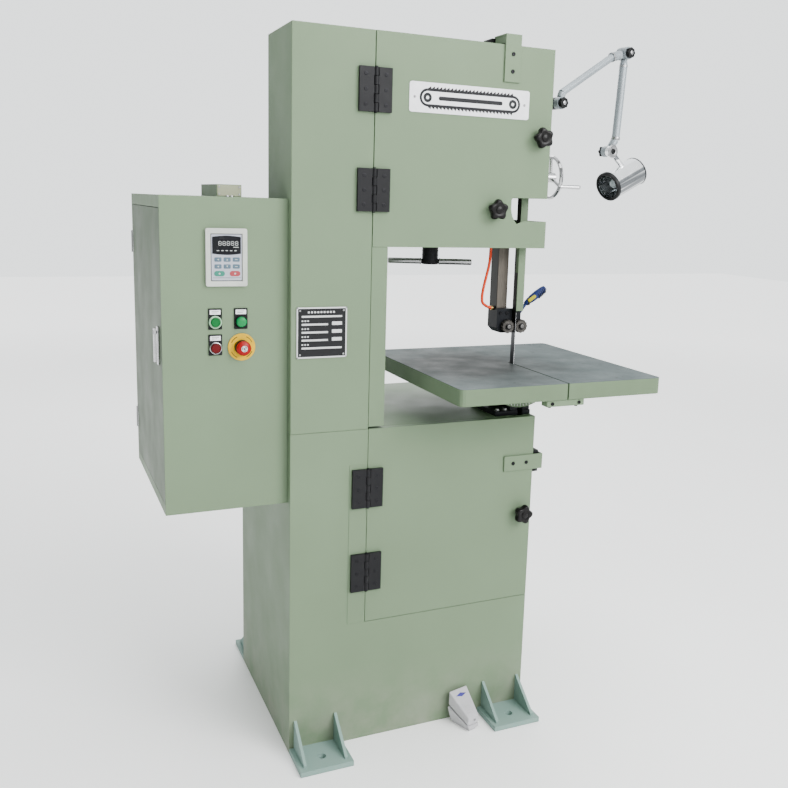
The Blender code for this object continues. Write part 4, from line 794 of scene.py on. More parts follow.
def plates():
    """The name plate carries a drawn saw band instead of words, and the data plate blank fields."""
    place, wide, tall = face_of("name_plate")
    places = [shifted(place, u, tall / 2) for u in (0.014, wide - 0.014)]
    fasteners("name_plate_rivets", rivet, places, (0.0034,), "bright_steel", "upper_door")
    bm = bmesh.new()
    reach, thick, middle_height = tall / 2 - 0.0175, 0.0062, tall / 2
    left, right = 0.03 + reach, wide - 0.03 - reach
    for side, upward in ((-1, False), (1, True)):
        v = middle_height + side * reach
        inked(bm, oblong(left, v - thick / 2, right, v + thick / 2, 0.0002, 2), place)
        teeth = 24
        pitch = (right - left) / teeth
        for tooth in range(teeth):
            x = left + pitch * tooth
            points = [
                (x, v + side * thick / 2), (x + pitch, v + side * thick / 2),
                (x + pitch * 0.85, v + side * 0.009)]
            inked(bm, points if upward else points[::-1], place)
    for u, start in ((left, 90), (right, -90)):
        points = arc((u, middle_height), reach + thick / 2, start, start + 180, 20)
        points += arc((u, middle_height), reach - thick / 2, start + 180, start, 20)
        inked(bm, points, place)
        hub = shifted(place, u, middle_height)
        washer(bm, reach - 0.007, 0.004, -0.0001, 0.0003, hub, 32, 0.0001)
    inked(
        bm, oblong(left + 0.03, middle_height - 0.005, right - 0.03, middle_height + 0.005, 0.0045, 5),
        place)
    piece("name_plate_band", bm, "ink", "upper_door")

    place, wide, tall = face_of("data_plate")
    bm = bmesh.new()
    edge = 0.0035
    strips = [
        (0, 0, wide, edge), (0, tall - edge, wide, tall), (0, 0, edge, tall), (wide - edge, 0, wide, tall)]
    for x0, y0, x1, y1 in strips:
        slab(bm, oblong(x0, y0, x1, y1, 0.0008, 2), -0.0002, 0.0007, place, 0.0002)
    for row, (start, end) in enumerate(((0.1, 0.9), (0.1, 0.62), (0.1, 0.62), (0.1, 0.62), (0.1, 0.9))):
        v = tall * (0.8 - 0.155 * row)
        inked(bm, oblong(wide * start, v, wide * end, v + 0.0045, 0.0008, 2), place)
    for v in (tall * 0.645, tall * 0.49, tall * 0.335):
        inked(bm, oblong(wide * 0.7, v, wide * 0.9, v + 0.0085, 0.0008, 2), place)
    for column in range(9):
        u = wide * (0.22 + 0.062 * column)
        inked(bm, oblong(u, tall * 0.885, u + 0.0048, tall * 0.885 + 0.0044, 0.0006, 2), place)
    for v in (0.72, 0.565, 0.41, 0.255):
        for u in (0.1, 0.155, 0.21):
            inked(bm, oblong(wide * u, tall * v, wide * u + 0.004, tall * v + 0.0034, 0.0006, 2), place)
    piece("data_plate_print", bm, "silver_print", "frame")
    places = [shifted(place, u, v) for u in (0.0085, wide - 0.0085) for v in (0.0085, tall - 0.0085)]
    fasteners("data_plate_rivets", rivet, places, (0.0026,), "bright_steel", "frame")


# ---- Cabinet ------------------------------------------------------------------------------------------
def speed_panel():
    """The drive's keypad: a framed membrane with a bowed display, six keys and two oval keys."""
    place, wide, tall = face_of("speed_panel")
    recess = -0.0029

    bm = bmesh.new()
    slab(bm, oblong(0.013, 0.014, wide - 0.013, tall - 0.014, 0.002), recess, -0.0012, place)
    piece("panel_membrane", bm, "panel_face", "frame")
    bm = bmesh.new()
    slab(bm, oblong(0.0118, 0.0128, wide - 0.0118, tall - 0.0128, 0.002), recess, -0.0022, place, 0.0001)
    slab(
        bm, oblong(0.016, tall * 0.146, wide - 0.016, tall * 0.152, 0.0003, 2), -0.0013, -0.001, place,
        0.0001)
    piece("panel_outline", bm, "ink", "frame")

    left, right, bottom, top = wide * 0.155, wide * 0.845, tall * 0.565, tall * 0.855
    span = right - left
    edge = []
    for step in range(13):
        share = step / 12
        edge.append((left + span * share, bottom - 0.0028 * sin(pi * share)))
    for step in range(13):
        share = step / 12
        edge.append((right - span * share, top + 0.0028 * sin(pi * share)))
    bm = bmesh.new()
    slab(bm, edge, -0.0014, -0.0004, place, 0.0003)
    piece("panel_display", bm, "display", "frame")

    bm = bmesh.new()
    for digit in range(5):
        x, y = wide * (0.305 + 0.1 * digit), tall * 0.705
        w, h, t = wide * 0.072, tall * 0.075, 0.001
        for v in (y, y + h / 2 - t / 2, y + h - t):
            lit(bm, oblong(x + t, v, x + w - t, v + t, 0.0003, 2), place)
        for u in (x, x + w - t):
            for v in (y + t, y + h / 2 + t / 2):
                lit(bm, oblong(u, v, u + t, v + h / 2 - t * 1.5, 0.0003, 2), place)
    for mark in range(5):
        x = wide * (0.265 + 0.105 * mark)
        lit(bm, oblong(x, tall * 0.612, x + 0.0052, tall * 0.625, 0.0006, 3), place)
    lit(bm, oblong(wide * 0.66, tall * 0.672, wide * 0.79, tall * 0.682, 0.0004, 2), place)
    piece("panel_digits", bm, "display_marks", "frame")

    keys, marks = bmesh.new(), bmesh.new()
    for row, v in enumerate((0.465, 0.345)):
        for column, u in enumerate((0.29, 0.51, 0.73)):
            x, y = wide * u, tall * v
            slab(
                keys, oblong(x - 0.0083, y - 0.005, x + 0.0083, y + 0.005, 0.0022), -0.0013, -0.0004, place)
            size = 0.0021
            if column == 1:
                points = [(x - size, y - size), (x + size, y - size), (x, y + size)]
                if row:
                    points = [(x, y - size), (x + size, y + size), (x - size, y + size)]
            elif column == 0:
                points = [(x + size, y + size), (x - size, y), (x + size, y - size)]
            else:
                points = oblong(x - size * 1.4, y - 0.0007, x + size * 1.4, y + 0.0007, 0.0003, 2)
            slab(marks, points, -0.0005, -0.0002, place, 0.0001)
    piece("panel_keys", keys, "key_blue", "frame")
    for name, u in (("green", 0.325), ("red", 0.7)):
        x, y = wide * u, tall * 0.222
        bm = bmesh.new()
        slab(bm, oblong(x - 0.0125, y - 0.0062, x + 0.0125, y + 0.0062, 0.006, 6), -0.0013, -0.0003, place)
        piece(f"panel_{name}_key", bm, f"key_{name}", "frame")
        rings(marks, [
            (0, -0.0005), (0.0022, -0.0005), (0.0022, -0.0002), (0, -0.0002)
        ], shifted(place, x, y), 16)
    piece("panel_key_marks", marks, "display_marks", "frame")


# Each bezel's look and slot, and the radius of its opening.
BEZELS = {
    "start_button": ("green_ring", "green_plastic", 0.0118),
    "stop_button": ("chrome", "chrome", 0.0118),
    "pilot_lamp": ("black_rubber", "black_paint", 0.0131),
}
BUTTON_RIMS = {"start_button": ("green_plastic", "green_plastic"), "stop_button": ("dark_red", "red_plastic")}


def push_buttons():
    """Legend holders and bezels around the buttons and the pilot lamp, with blank labels."""
    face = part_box("cabinet_shell")[0].y
    holders, labels, lines = bmesh.new(), bmesh.new(), bmesh.new()
    outline = boxed(0.016, 0.0325, -0.016, -0.0175)
    for node, (look, slot, inner) in BEZELS.items():
        centre = middle(node)
        place = front(centre.x, centre.z, face)
        holder = [(inner, 0.0002), (outline, 0.0002), (outline, 0.0026), (inner, 0.0026)]
        rings(holders, holder, place, 96, closed=True)
        slab(labels, oblong(-0.0125, 0.018, 0.0125, 0.029, 0.001), 0.0025, 0.0032, place)
        for v, right in ((0.0252, 0.0085), (0.0217, 0.0045)):
            slab(lines, oblong(-0.0085, v, right, v + 0.0011, 0.0003, 2), 0.0031, 0.0033, place, 0.0001)
        turned(f"{node}_bezel", [
            (inner, 0.0025), (0.0152, 0.0025), (0.0152, 0.006), (0.014, 0.0082), (inner + 0.0012, 0.0086),
            (inner, 0.0074)
        ], place, look, "frame", slot, 40, closed=True)
    piece("legend_holders", holders, "black_rubber", "frame")
    piece("legend_labels", labels, "white_plate", "frame")
    piece("legend_lines", lines, "ink", "frame")
    centre = middle("pilot_lamp")
    place = front(centre.x, centre.z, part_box("pilot_lamp")[0].y + 0.0002)
    turned("pilot_lens", [
        (0, 0.0), (0.0112, 0.0), (0.0106, 0.0016), (0.0085, 0.0028), (0.0045, 0.0036), (0, 0.0038)
    ], place, "green_lens", "frame", "green_plastic", 32)
    for node, (look, slot) in BUTTON_RIMS.items():
        centre = middle(node)
        bm = bmesh.new()
        washer(bm, 0.0098, 0.0088, -0.0002, 0.0005, front(centre.x, centre.z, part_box(node)[0].y), 36, 0.0002)
        piece(f"{node}_rim", bm, look, node)


def stop_mushroom():
    """Rings on the emergency stop's head, its black collar and the printed ring on the yellow disc."""
    centre = middle("emergency_stop_button")
    place = front(centre.x, centre.z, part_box("emergency_stop_button")[0].y)
    turned("stop_head_cap", [
        (0, -0.0006), (0.0074, -0.0006), (0.0074, 0.0004), (0, 0.0004)
    ], place, "silver_print", "emergency_stop_button", "white_plate", 32)
    bm = bmesh.new()
    rings(bm, [(0, 0.0002), (0.0022, 0.0002), (0.0022, 0.0006), (0, 0.0006)], place, 20)
    for turn in range(3):
        points = arc((0, 0), 0.006, 120 * turn + 10, 120 * turn + 80, 6)
        points += arc((0, 0), 0.0042, 120 * turn + 80, 120 * turn + 10, 6)
        slab(bm, points, 0.0002, 0.0006, place, 0.0001)
    piece("stop_head_marks", bm, "ink", "emergency_stop_button")
    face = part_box("cabinet_shell")[0].y
    bm = bmesh.new()
    place = front(centre.x, centre.z, face - 0.003)
    washer(bm, 0.0178, 0.0148, -0.0002, 0.011, place, 40, 0.0008)
    piece("stop_collar", bm, "black_rubber", "frame")
    bm = bmesh.new()
    for turn in range(4):
        points = arc((0, 0), 0.0278, 90 * turn + 24, 90 * turn + 66, 8)
        points += arc((0, 0), 0.0262, 90 * turn + 66, 90 * turn + 24, 8)
        slab(bm, points, -0.0001, 0.0002, place, 0.0001)
    piece("stop_disc_ring", bm, "ink", "frame")


def cabinet_trim():
    """The cable entry's front and bolts, the side door's hinges and lock, back bolts and cable glands."""
    low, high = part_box("cabinet_shell")
    bottom, top = low.z, high.z - 0.029
    entry_left, entry_right, entry_front = low.x + 0.145, low.x + 0.205, low.y + 0.075
    bm = bmesh.new()
    place = front(entry_left, top, entry_front)
    wide = entry_right - entry_left
    slab(bm, oblong(0.0015, 0.0015, wide - 0.0015, 0.0275, 0.002), -0.0002, 0.0014, place, 0.0006)
    piece("entry_front_plate", bm, "cream_paint", "frame")
    bm = bmesh.new()
    for u in (0.006, wide - 0.006):
        for v in (0.006, 0.023):
            socket_screw(bm, shifted(place, u, v, 0.0014), 0.0022, 0.0012)
    for x in (entry_left + 0.024, entry_left + 0.034):
        bolt(bm, Matrix.Translation((x, entry_front - 0.01, top)), 0.0038, 0.0036)
    piece("entry_bolts", bm, "bright_steel", "frame")
    bm = bmesh.new()
    for z0, z1 in ((bottom + 0.1, bottom + 0.16), (top - 0.16, top - 0.1)):
        pin, _ = joint("cabinet_door_hinge")
        tube(bm, [(pin.x, pin.y, z0), (pin.x, pin.y, z1)], 0.0021, 16)
        slab(bm, oblong(pin.y, z0, pin.y + 0.018, z1, 0.001, 2), -0.0004, 0.0006,
             facing((low.x, 0, 0), (0, 1, 0), (0, 0, 1)) @ Matrix.Scale(-1, 4, (0, 0, 1)), 0.0003)
    piece("cabinet_door_hinges", bm, "chrome", "frame")
    heights, sides = (bottom + 0.05, (bottom + top) / 2, top - 0.05), (low.x + 0.03, high.x - 0.03)
    places = [rear(x, z, high.y) for z in heights for x in sides]
    fasteners("cabinet_back_bolts", bolt, places, (0.0045, 0.004), "bright_steel", "frame")
    bm = bmesh.new()
    for x in (low.x + 0.085, low.x + 0.15, low.x + 0.215):
        place = Matrix.Translation((x, low.y + 0.36, bottom)) @ Matrix.Rotation(pi, 4, "X")
        rings(bm, [
            (0, -0.001), (hexagon(0.015), -0.001), (hexagon(0.015), 0.006), (0.0128, 0.0065),
            (0.0128, 0.012), (0.0105, 0.017), (0.006, 0.019), (0, 0.019)
        ], place, 24)
    piece("cable_glands", bm, "black_rubber", "frame")
    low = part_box("cabinet_handle")[0]
    centre, _ = joint("cabinet_handle_turn")
    place = facing((low.x, centre.y, centre.z), (0, -1, 0), (0, 0, 1))
    turned("handle_lock", [
        (0, -0.0006), (0.0048, -0.0006), (0.0048, 0.0004), (0.004, 0.0008), (0, 0.0008)
    ], place, "bright_steel", "cabinet_handle", "chrome", 24)


# ---- Blade guides -------------------------------------------------------------------------------------
def guide_rollers():
    """Scalloped rollers with a dished face, and the bright socket screws that hold them."""
    screws = bmesh.new()
    for name in ("left", "right"):
        low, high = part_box(f"{name}_guide_roller")
        centre, _ = joint(f"{name}_guide_roller_spin")
        outer, deep = (high.x - low.x) / 2, high.y - low.y
        place = front(centre.x, centre.z, low.y)
        rim = lobed(outer - 0.0012, 12, 0.0012)
        bore = 0.0056
        roller = turned(f"{name}_scalloped_roller", [
            (bore, -0.0009), (0.0098, -0.0009), (0.0106, -0.0015),
            (lobed(outer - 0.0034, 12, 0.0003), -0.0013), (lobed(outer - 0.0018, 12, 0.0007), 0.0),
            (rim, -0.0014), (rim, 0.0012 - deep), (lobed(outer - 0.002, 12, 0.0007), -deep), (bore, -deep)
        ], place, "roller_steel", f"{name}_guide_roller", "bare_steel", 96, closed=True, smooth=28)
        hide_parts(f"{name}_guide_roller")
        socket_screw(screws, front(centre.x, centre.z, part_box("guide_block")[0].y), 0.0058, 0.001)
    piece("roller_screws", screws, "dull_steel", "guide_post")


def guide_block_trim():
    """Clamp screws on the guide block's face."""
    post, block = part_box("guide_post"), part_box("guide_block")
    face = post[0].y - 0.012
    places = [front(x, block[1].z - 0.012, face) for x in (block[0].x + 0.011, block[0].x + 0.031)]
    fasteners(
        "guide_block_screws", socket_screw, places, (0.0046, 0.003), "screw_black", "guide_post")


# The air hose's route, as in the CAD: out of the head, a slack bow and into the block.
HOSE_PLANE = -0.142
HOSE_DIAMETER = 0.008
HOSE_ROUTE = (
    (0.253, 1.62), (0.2535, 1.5), (0.254, 1.4), (0.254, 1.345), (0.2535, 1.31), (0.251, 1.285),
    (0.2455, 1.26), (0.2395, 1.235), (0.235, 1.213), (0.2332, 1.194), (0.2355, 1.18), (0.2465, 1.171),
    (0.2575, 1.1665), (0.2683, 1.165),
)


def smooth_route(points, steps):
    """Points on the Catmull-Rom curve through these."""
    ends = [2 * points[0] - points[1], *points, 2 * points[-1] - points[-2]]
    route = []
    for before, start, end, after in zip(ends, ends[1:], ends[2:], ends[3:]):
        for step in range(steps):
            t = step / steps
            route.append(0.5 * (
                2 * start + (end - before) * t + (2 * before - 5 * start + 4 * end - after) * t**2
                + (3 * start - before - 3 * end + after) * t**3
            ))
    return [*route, points[-1]]


def air_hose():
    route = smooth_route([Vector((x, HOSE_PLANE, z)) for x, z in HOSE_ROUTE], 3)
    bm = bmesh.new()
    tube(bm, route, HOSE_DIAMETER / 2, 16)
    hose = piece("hose", bm, "red_hose", "guide_post", 50)
    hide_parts("air_hose")
    end = route[-1]
    place = along(end - Vector((0.006, 0, 0)), (1, 0, 0))
    fitting = turned("hose_fitting", [
        (0.0042, 0), (0.0058, 0), (0.0062, 0.0006), (0.0062, 0.0024), (0.0054, 0.0028),
        (hexagon(0.0068), 0.003), (hexagon(0.0068), 0.0064), (0.0042, 0.0064)
    ], place, "brass", "guide_post", "chrome", 24, closed=True)


def air_nozzle():
    """The grip's black ribs, its nose ring and its yellow push button."""
    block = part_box("guide_block")
    low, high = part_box("air_nozzle")
    y = (low.y + high.y) / 2
    start, end = Vector((block[1].x + 0.022, y, 1.1755)), Vector((block[1].x + 0.084, y, 1.22))
    axis = (end - start).normalized()
    long = (end - start).length
    place = along(start, axis)
    bm = bmesh.new()
    for share, radius in ((0.56, 0.0121), (0.64, 0.0119), (0.72, 0.0115), (0.8, 0.011), (0.88, 0.0104)):
        height = long * share
        rings(bm, [
            (radius - 0.0012, height - 0.0013), (radius + 0.0002, height - 0.0013),
            (radius + 0.0009, height), (radius + 0.0002, height + 0.0013),
            (radius - 0.0012, height + 0.0013)
        ], place, 28, closed=True)
    rings(bm, [
        (0.005, 0.001), (0.007, 0.001), (0.0078, 0.003), (0.009, 0.007), (0.006, 0.0075)
    ], place, 28, closed=True)
    piece("nozzle_ribs", bm, "black_rubber", "guide_post")
    up = Vector((0, -0.8, 0.6))
    up = (up - axis * up.dot(axis)).normalized()
    side = facing(start + up * 0.0085, axis, up.cross(axis))
    bm = bmesh.new()
    slab(bm, oblong(long * 0.08, -0.005, long * 0.46, 0.005, 0.0048, 6), -0.0005, 0.0042, side, 0.0016)
    piece("nozzle_button", bm, "yellow_insert", "guide_post")


# ---- Blade and wheels ---------------------------------------------------------------------------------
TOOTH_PITCH, TOOTH_DEPTH = 0.0052, 0.0024


def blade_teeth():
    """Hooked teeth all round the band's front edge."""
    low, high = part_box("blade")
    radius = (high.x - low.x) / 2
    thick = 0.001
    middle_x, upper_z, lower_z = (low.x + high.x) / 2, high.z - radius, low.z + radius
    straight, turn = upper_z - lower_z, pi * (radius - thick / 2)
    total = 2 * straight + 2 * turn
    count = round(total / TOOTH_PITCH)
    reach = radius - 0.0006

    def at(distance, offset):
        """A point of the loop at this distance, moved outwards, going down the working side."""
        distance %= total
        if distance < straight:
            return middle_x + reach + offset, upper_z - distance
        distance -= straight
        if distance < turn:
            angle = -distance / turn * pi
            return middle_x + (reach + offset) * cos(angle), lower_z + (reach + offset) * sin(angle)
        distance -= turn
        if distance < straight:
            return middle_x - reach - offset, lower_z + distance
        angle = pi - (distance - straight) / turn * pi
        return middle_x + (reach + offset) * cos(angle), upper_z + (reach + offset) * sin(angle)

    bm = bmesh.new()
    for tooth in range(count):
        start = tooth * total / count
        lean = (-0.00022, 0.00022, 0.0)[tooth % 3]
        corners = []
        for shift, depth, sway in ((0.0, 0.0006, 0.0), (TOOTH_PITCH * 0.98, 0.0006, 0.0),
                                   (TOOTH_PITCH * 0.9, -TOOTH_DEPTH, lean)):
            for offset in (-thick / 2, thick / 2):
                x, z = at(start + shift, offset + sway)
                corners.append(bm.verts.new((x, low.y + depth, z)))
        a, b, c, d, e, f = corners
        for face in ((a, c, e), (b, f, d), (a, b, d, c), (c, d, f, e), (e, f, b, a)):
            bm.faces.new(face)
    piece("blade_teeth", bm, "tooth_steel", "frame")


# How far the tyres' faces stand from a wheel's middle plane, and the bolts in its hub.
TYRE_OFFSET = 0.013
HUB_BOLTS, HUB_BOLT_REACH = 5, 0.027


def wheel_trim():
    """Rubber tyres at both wheels' rims, hub bolts and grease caps."""
    for name in ("upper", "lower"):
        low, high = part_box(f"{name}_wheel")
        centre, _ = joint(f"{name}_wheel_spin")
        outer = (high.x - low.x) / 2
        tyre, hub = bmesh.new(), bmesh.new()
        near, far = centre.y - TYRE_OFFSET, centre.y + TYRE_OFFSET
        for place in (front(centre.x, centre.z, near), rear(centre.x, centre.z, far)):
            washer(tyre, outer - 0.0005, outer - 0.0055, -0.0006, 0.0007, place, 80, 0.0003)
        place = front(centre.x, centre.z, centre.y - 0.018)
        for turn in range(HUB_BOLTS):
            angle = 2 * pi * (turn + 0.5) / HUB_BOLTS + pi / 2
            spot = shifted(place, HUB_BOLT_REACH * cos(angle), HUB_BOLT_REACH * sin(angle))
            bolt(hub, spot, 0.0036, 0.0042)
        washer(hub, 0.02, 0.0135, -0.0004, 0.0008, place, 40)
        piece(f"{name}_wheel_tyre", tyre, "tyre_rubber", f"{name}_wheel")
        piece(f"{name}_wheel_hub_bolts", hub, "bright_steel", f"{name}_wheel")


MOTOR_FINS, FIN_PITCH = 11, 0.0095
HOUSING_BOLT_REACH = 0.049


def drive_trim():
    """The motor's cooling fins, end band and terminal screws, and the bearing's and rails' bolts."""
    motor_low, motor_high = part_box("motor")
    pulley, _ = joint("motor_pulley_spin")
    body_front = motor_low.y + 0.067
    bm = bmesh.new()
    for fin in range(MOTOR_FINS):
        place = front(pulley.x, pulley.z, body_front + 0.0236 + fin * FIN_PITCH)
        washer(bm, 0.086, 0.079, 0.0, 0.0024, place, 44, 0.0006)
    rings(bm, [
        (0.06, 0.0), (0.08, 0.0), (0.0822, 0.004), (0.0822, 0.014), (0.079, 0.016), (0.06, 0.016)
    ], front(pulley.x, pulley.z, body_front + 0.016), 44, closed=True)
    piece("motor_fins", bm, "motor_casting", "frame")
    bm = bmesh.new()
    for x in (0.068, 0.107):
        for y in (0.038, 0.112):
            socket_screw(bm, Matrix.Translation((pulley.x + x, body_front + y, motor_high.z)), 0.003, 0.002)
    axis, _ = joint("lower_wheel_spin")
    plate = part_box("column")[1].y
    for turn in range(4):
        angle = pi / 4 + turn * pi / 2
        x, z = axis.x + HOUSING_BOLT_REACH * cos(angle), axis.z + HOUSING_BOLT_REACH * sin(angle)
        bolt(bm, rear(x, z, plate + 0.0104), 0.006, 0.0055)
    carriage = middle("wheel_carriage")
    for side in (-1, 1):
        for z in (1.475, 1.6, 1.725):
            bolt(bm, rear(carriage.x + side * 0.0685, z, plate), 0.006, 0.005)
    piece("drive_bolts", bm, "bright_steel", "frame")


def rear_cover_trim():
    """A pressed hood over each louvre and a row of screws round the panel's edge."""
    low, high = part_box("rear_cover")
    axis, _ = joint("lower_wheel_spin")
    hoods, screws = bmesh.new(), bmesh.new()
    profile = [(-0.0003, 0.0105), (-0.0003, 0.014), (0.002, 0.0135), (0.0046, 0.011), (0.0062, 0.007),
               (0.0066, 0.002), (0.0058, 0.002), (0.0052, 0.0068), (0.0036, 0.01), (0.0012, 0.0112)]
    for start_x in (axis.x - 0.2, axis.x - 0.02):
        for row in range(6):
            z = 0.56 + row * 0.028
            place = Matrix(((0, 0, 1, start_x - 0.002), (1, 0, 0, high.y), (0, 1, 0, z), (0, 0, 0, 1)))
            slab(hoods, profile[::-1], 0.0, 0.124, place, 0.0002)
    piece("louvre_hoods", hoods, "green_paint", "frame", 50)
    for x in (low.x + 0.012, (low.x + high.x) / 2, high.x - 0.012):
        for z in (low.z + 0.012, (low.z * 2 + high.z) / 3, (low.z + high.z * 2) / 3, high.z - 0.012):
            socket_screw(screws, rear(x, z, high.y), 0.005, 0.0026)
    piece("rear_cover_screws", screws, "screw_black", "frame")


# ---- Table --------------------------------------------------------------------------------------------
def table_trim():
    """Bolts in the alignment bar, the tilt scale on the front trunnion, and base bolts."""
    low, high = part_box("table_alignment_bar")
    screws = bmesh.new()
    for x in (low.x + 0.016, high.x - 0.016):
        socket_screw(screws, front(x, (low.z + high.z) / 2, low.y), 0.0046, 0.0026)
        bolt(
            screws, Matrix.Translation((x, (low.y + high.y) / 2, low.z)) @ Matrix.Rotation(pi, 4, "X"),
            0.005, 0.0045)
    piece("alignment_bar_bolts", screws, "screw_black", "table")
    centre, _ = joint("table_tilt")
    cradle_low, cradle_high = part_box("trunnion_base")
    place = front(centre.x, centre.z, cradle_low.y + 0.004)
    bm = bmesh.new()
    for tick in range(-9, 10):
        angle = radians(270 + tick * 5)
        long = 0.01 if tick % 3 == 0 else 0.006
        first = Vector((cos(angle), sin(angle)))
        across = Vector((-first.y, first.x)) * 0.00045
        outer, inner = first * 0.112, first * (0.112 - long)
        points = [outer + across, inner + across, inner - across, outer - across]
        slab(bm, [tuple(point) for point in points][::-1], -0.0002, 0.0003, place, 0.0001)
    piece("tilt_scale", bm, "silver_print", "table")
    places = [
        Matrix.Translation((x, y, cradle_low.z + 0.0126))
        for x in (cradle_low.x + 0.012, cradle_low.x + 0.036)
        for y in (cradle_low.y + 0.014, cradle_high.y - 0.014)
    ]
    fasteners("trunnion_bolts", bolt, places, (0.006, 0.006), "bright_steel", "frame")


# ---- Handles ------------------------------------------------------------------------------------------
def handle_trim():
    """The handwheel's nut, the crank handle's cap, and the tension bar's sleeves and hub rings."""
    centre, _ = joint("handwheel_turn")
    hub_end = centre.x + 0.01
    place = facing((hub_end, centre.y, centre.z), (0, 1, 0), (0, 0, 1))
    turned("handwheel_nut", [
        (0, -0.0004), (0.0094, -0.0004), (0.0094, 0.0008), (hexagon(0.0078), 0.0012),
        (hexagon(0.0078), 0.0052), (0.0062, 0.006), (0.0036, 0.0066), (0, 0.0068)
    ], place, "bright_steel", "handwheel", "chrome", 24)
    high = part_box("crank_handle")[1]
    crank, _ = joint("crank_handle_spin")
    place = facing((high.x - 0.0005, crank.y, crank.z), (0, 1, 0), (0, 0, 1))
    turned("crank_handle_cap", [
        (0, -0.0003), (0.005, -0.0003), (0.0047, 0.0), (0.003, 0.0002), (0, 0.0002)
    ], place, "chrome", "crank_handle", "chrome", 20)
    hub, _ = joint("tension_handle_turn")
    low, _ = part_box("tension_handle")
    bm = bmesh.new()
    reach = Vector((0.109, -0.04, 0))
    middle_point = Vector((hub.x, hub.y, low.z + 0.008))
    for side in (-1, 1):
        start, end = middle_point + reach * side * 0.215, middle_point + reach * side
        place = along(start, reach * side)
        long = (end - start).length
        rings(bm, [
            (0.0066, 0.0), (0.0094, 0.0), (0.0094, 0.003), (0.0084, 0.004), (0.0084, long - 0.003),
            (0.0076, long - 0.0003), (0.005, long + 0.0006), (0, long + 0.0008)
        ], place, 28)
    piece("tension_bar_sleeves", bm, "bright_steel", "tension_handle")
    bm = bmesh.new()
    for z in (low.z + 0.006, low.z + 0.024, low.z + 0.036):
        rings(bm, [
            (0.0218, z), (0.023, z), (0.0233, z + 0.0012), (0.023, z + 0.0024), (0.0218, z + 0.0024)
        ], Matrix.Translation((hub.x, hub.y, 0)), 36, closed=True)
    piece("tension_hub_rings", bm, "dark_handle", "tension_handle")


# ---- Work lamp ----------------------------------------------------------------------------------------
EYE_HALF = 0.0165


JOINT_KNOB = [
    (0, -0.0004), (0.0128, -0.0004), (0.0128, 0.003), (lobed(0.0144, 8, 0.0008), 0.004),
    (lobed(0.0146, 8, 0.0009), 0.01), (lobed(0.0134, 8, 0.0007), 0.0118), (0.007, 0.0122), (0.0066, 0.0112),
    (0, 0.0112)]
JOINT_CAP = [(0, 0.0105), (0.0058, 0.0105), (0.0058, 0.0126), (0.0048, 0.0134), (0, 0.0137)]
JOINT_DISC = [
    (0, -0.0004), (0.0192, -0.0004), (0.0196, 0.001), (0.018, 0.0026), (0.01, 0.0032), (0.0078, 0.0018),
    (0, 0.0018)]
JOINT_BUTTON = [
    (0, 0.0014), (0.0074, 0.0014), (0.0074, 0.0036), (0.006, 0.0042), (hexagon(0.003), 0.0038),
    (hexagon(0.0028), 0.0024), (0, 0.0024)]
FAR_KNOB = [
    (0, -0.0004), (0.011, -0.0004), (lobed(0.0138, 6, 0.0016), 0.003), (lobed(0.014, 6, 0.0017), 0.01),
    (lobed(0.012, 6, 0.0013), 0.0122), (0, 0.0126)]
FAR_NUT = [
    (0, -0.0004), (0.012, -0.0004), (0.012, 0.001), (hexagon(0.0092), 0.0014), (hexagon(0.0092), 0.0062),
    (0.0076, 0.007), (0, 0.007)]
KNOB_LOOK, METAL_LOOK = ("black_rubber", "knob_plastic"), ("bright_steel", "chrome")
# Each turned piece on a lamp joint: the joint, its side (-1 is the near face), what it rides on, its look and
# slot, its profile and the steps round it.
JOINT_PIECES = {
    "base_joint_knob": ("base", -1, "lamp_lower_arm", KNOB_LOOK, JOINT_KNOB, 64),
    "base_joint_cap": ("base", -1, "lamp_lower_arm", METAL_LOOK, JOINT_CAP, 36),
    "elbow_joint_knob": ("elbow", -1, "lamp_upper_arm", KNOB_LOOK, JOINT_KNOB, 64),
    "elbow_joint_cap": ("elbow", -1, "lamp_upper_arm", METAL_LOOK, JOINT_CAP, 36),
    "wrist_joint_disc": ("wrist", -1, "lamp_head", METAL_LOOK, JOINT_DISC, 36),
    "wrist_joint_button": ("wrist", -1, "lamp_head", KNOB_LOOK, JOINT_BUTTON, 36),
    "wrist_far_knob": ("wrist", 1, "lamp_upper_arm", KNOB_LOOK, FAR_KNOB, 60),
    "elbow_far_nut": ("elbow", 1, "lamp_lower_arm", METAL_LOOK, FAR_NUT, 24),
    "base_far_nut": ("base", 1, "frame", METAL_LOOK, FAR_NUT, 24),
}


def lamp_joints():
    """Knobs, caps, discs and nuts on both faces of the lamp's joints."""
    for name, (end, side, body, (look, slot), profile, steps) in JOINT_PIECES.items():
        centre, axis = joint(f"lamp_{end}_joint")
        axis = axis.normalized() * side
        turned(name, profile, along(centre + axis * EYE_HALF, axis), look, body, slot, steps, smooth=40)


SHADE_FACE = (0.223, -0.218)
SHADE_LENGTH = 0.135


def lamp_spot(out, up):
    """A point of the lamp's upright plane, from its base joint, as in the CAD."""
    base, _ = joint("lamp_base_joint")
    level = Vector((cos(LAMP_TURN), sin(LAMP_TURN), 0))
    return base + level * out + UP * up


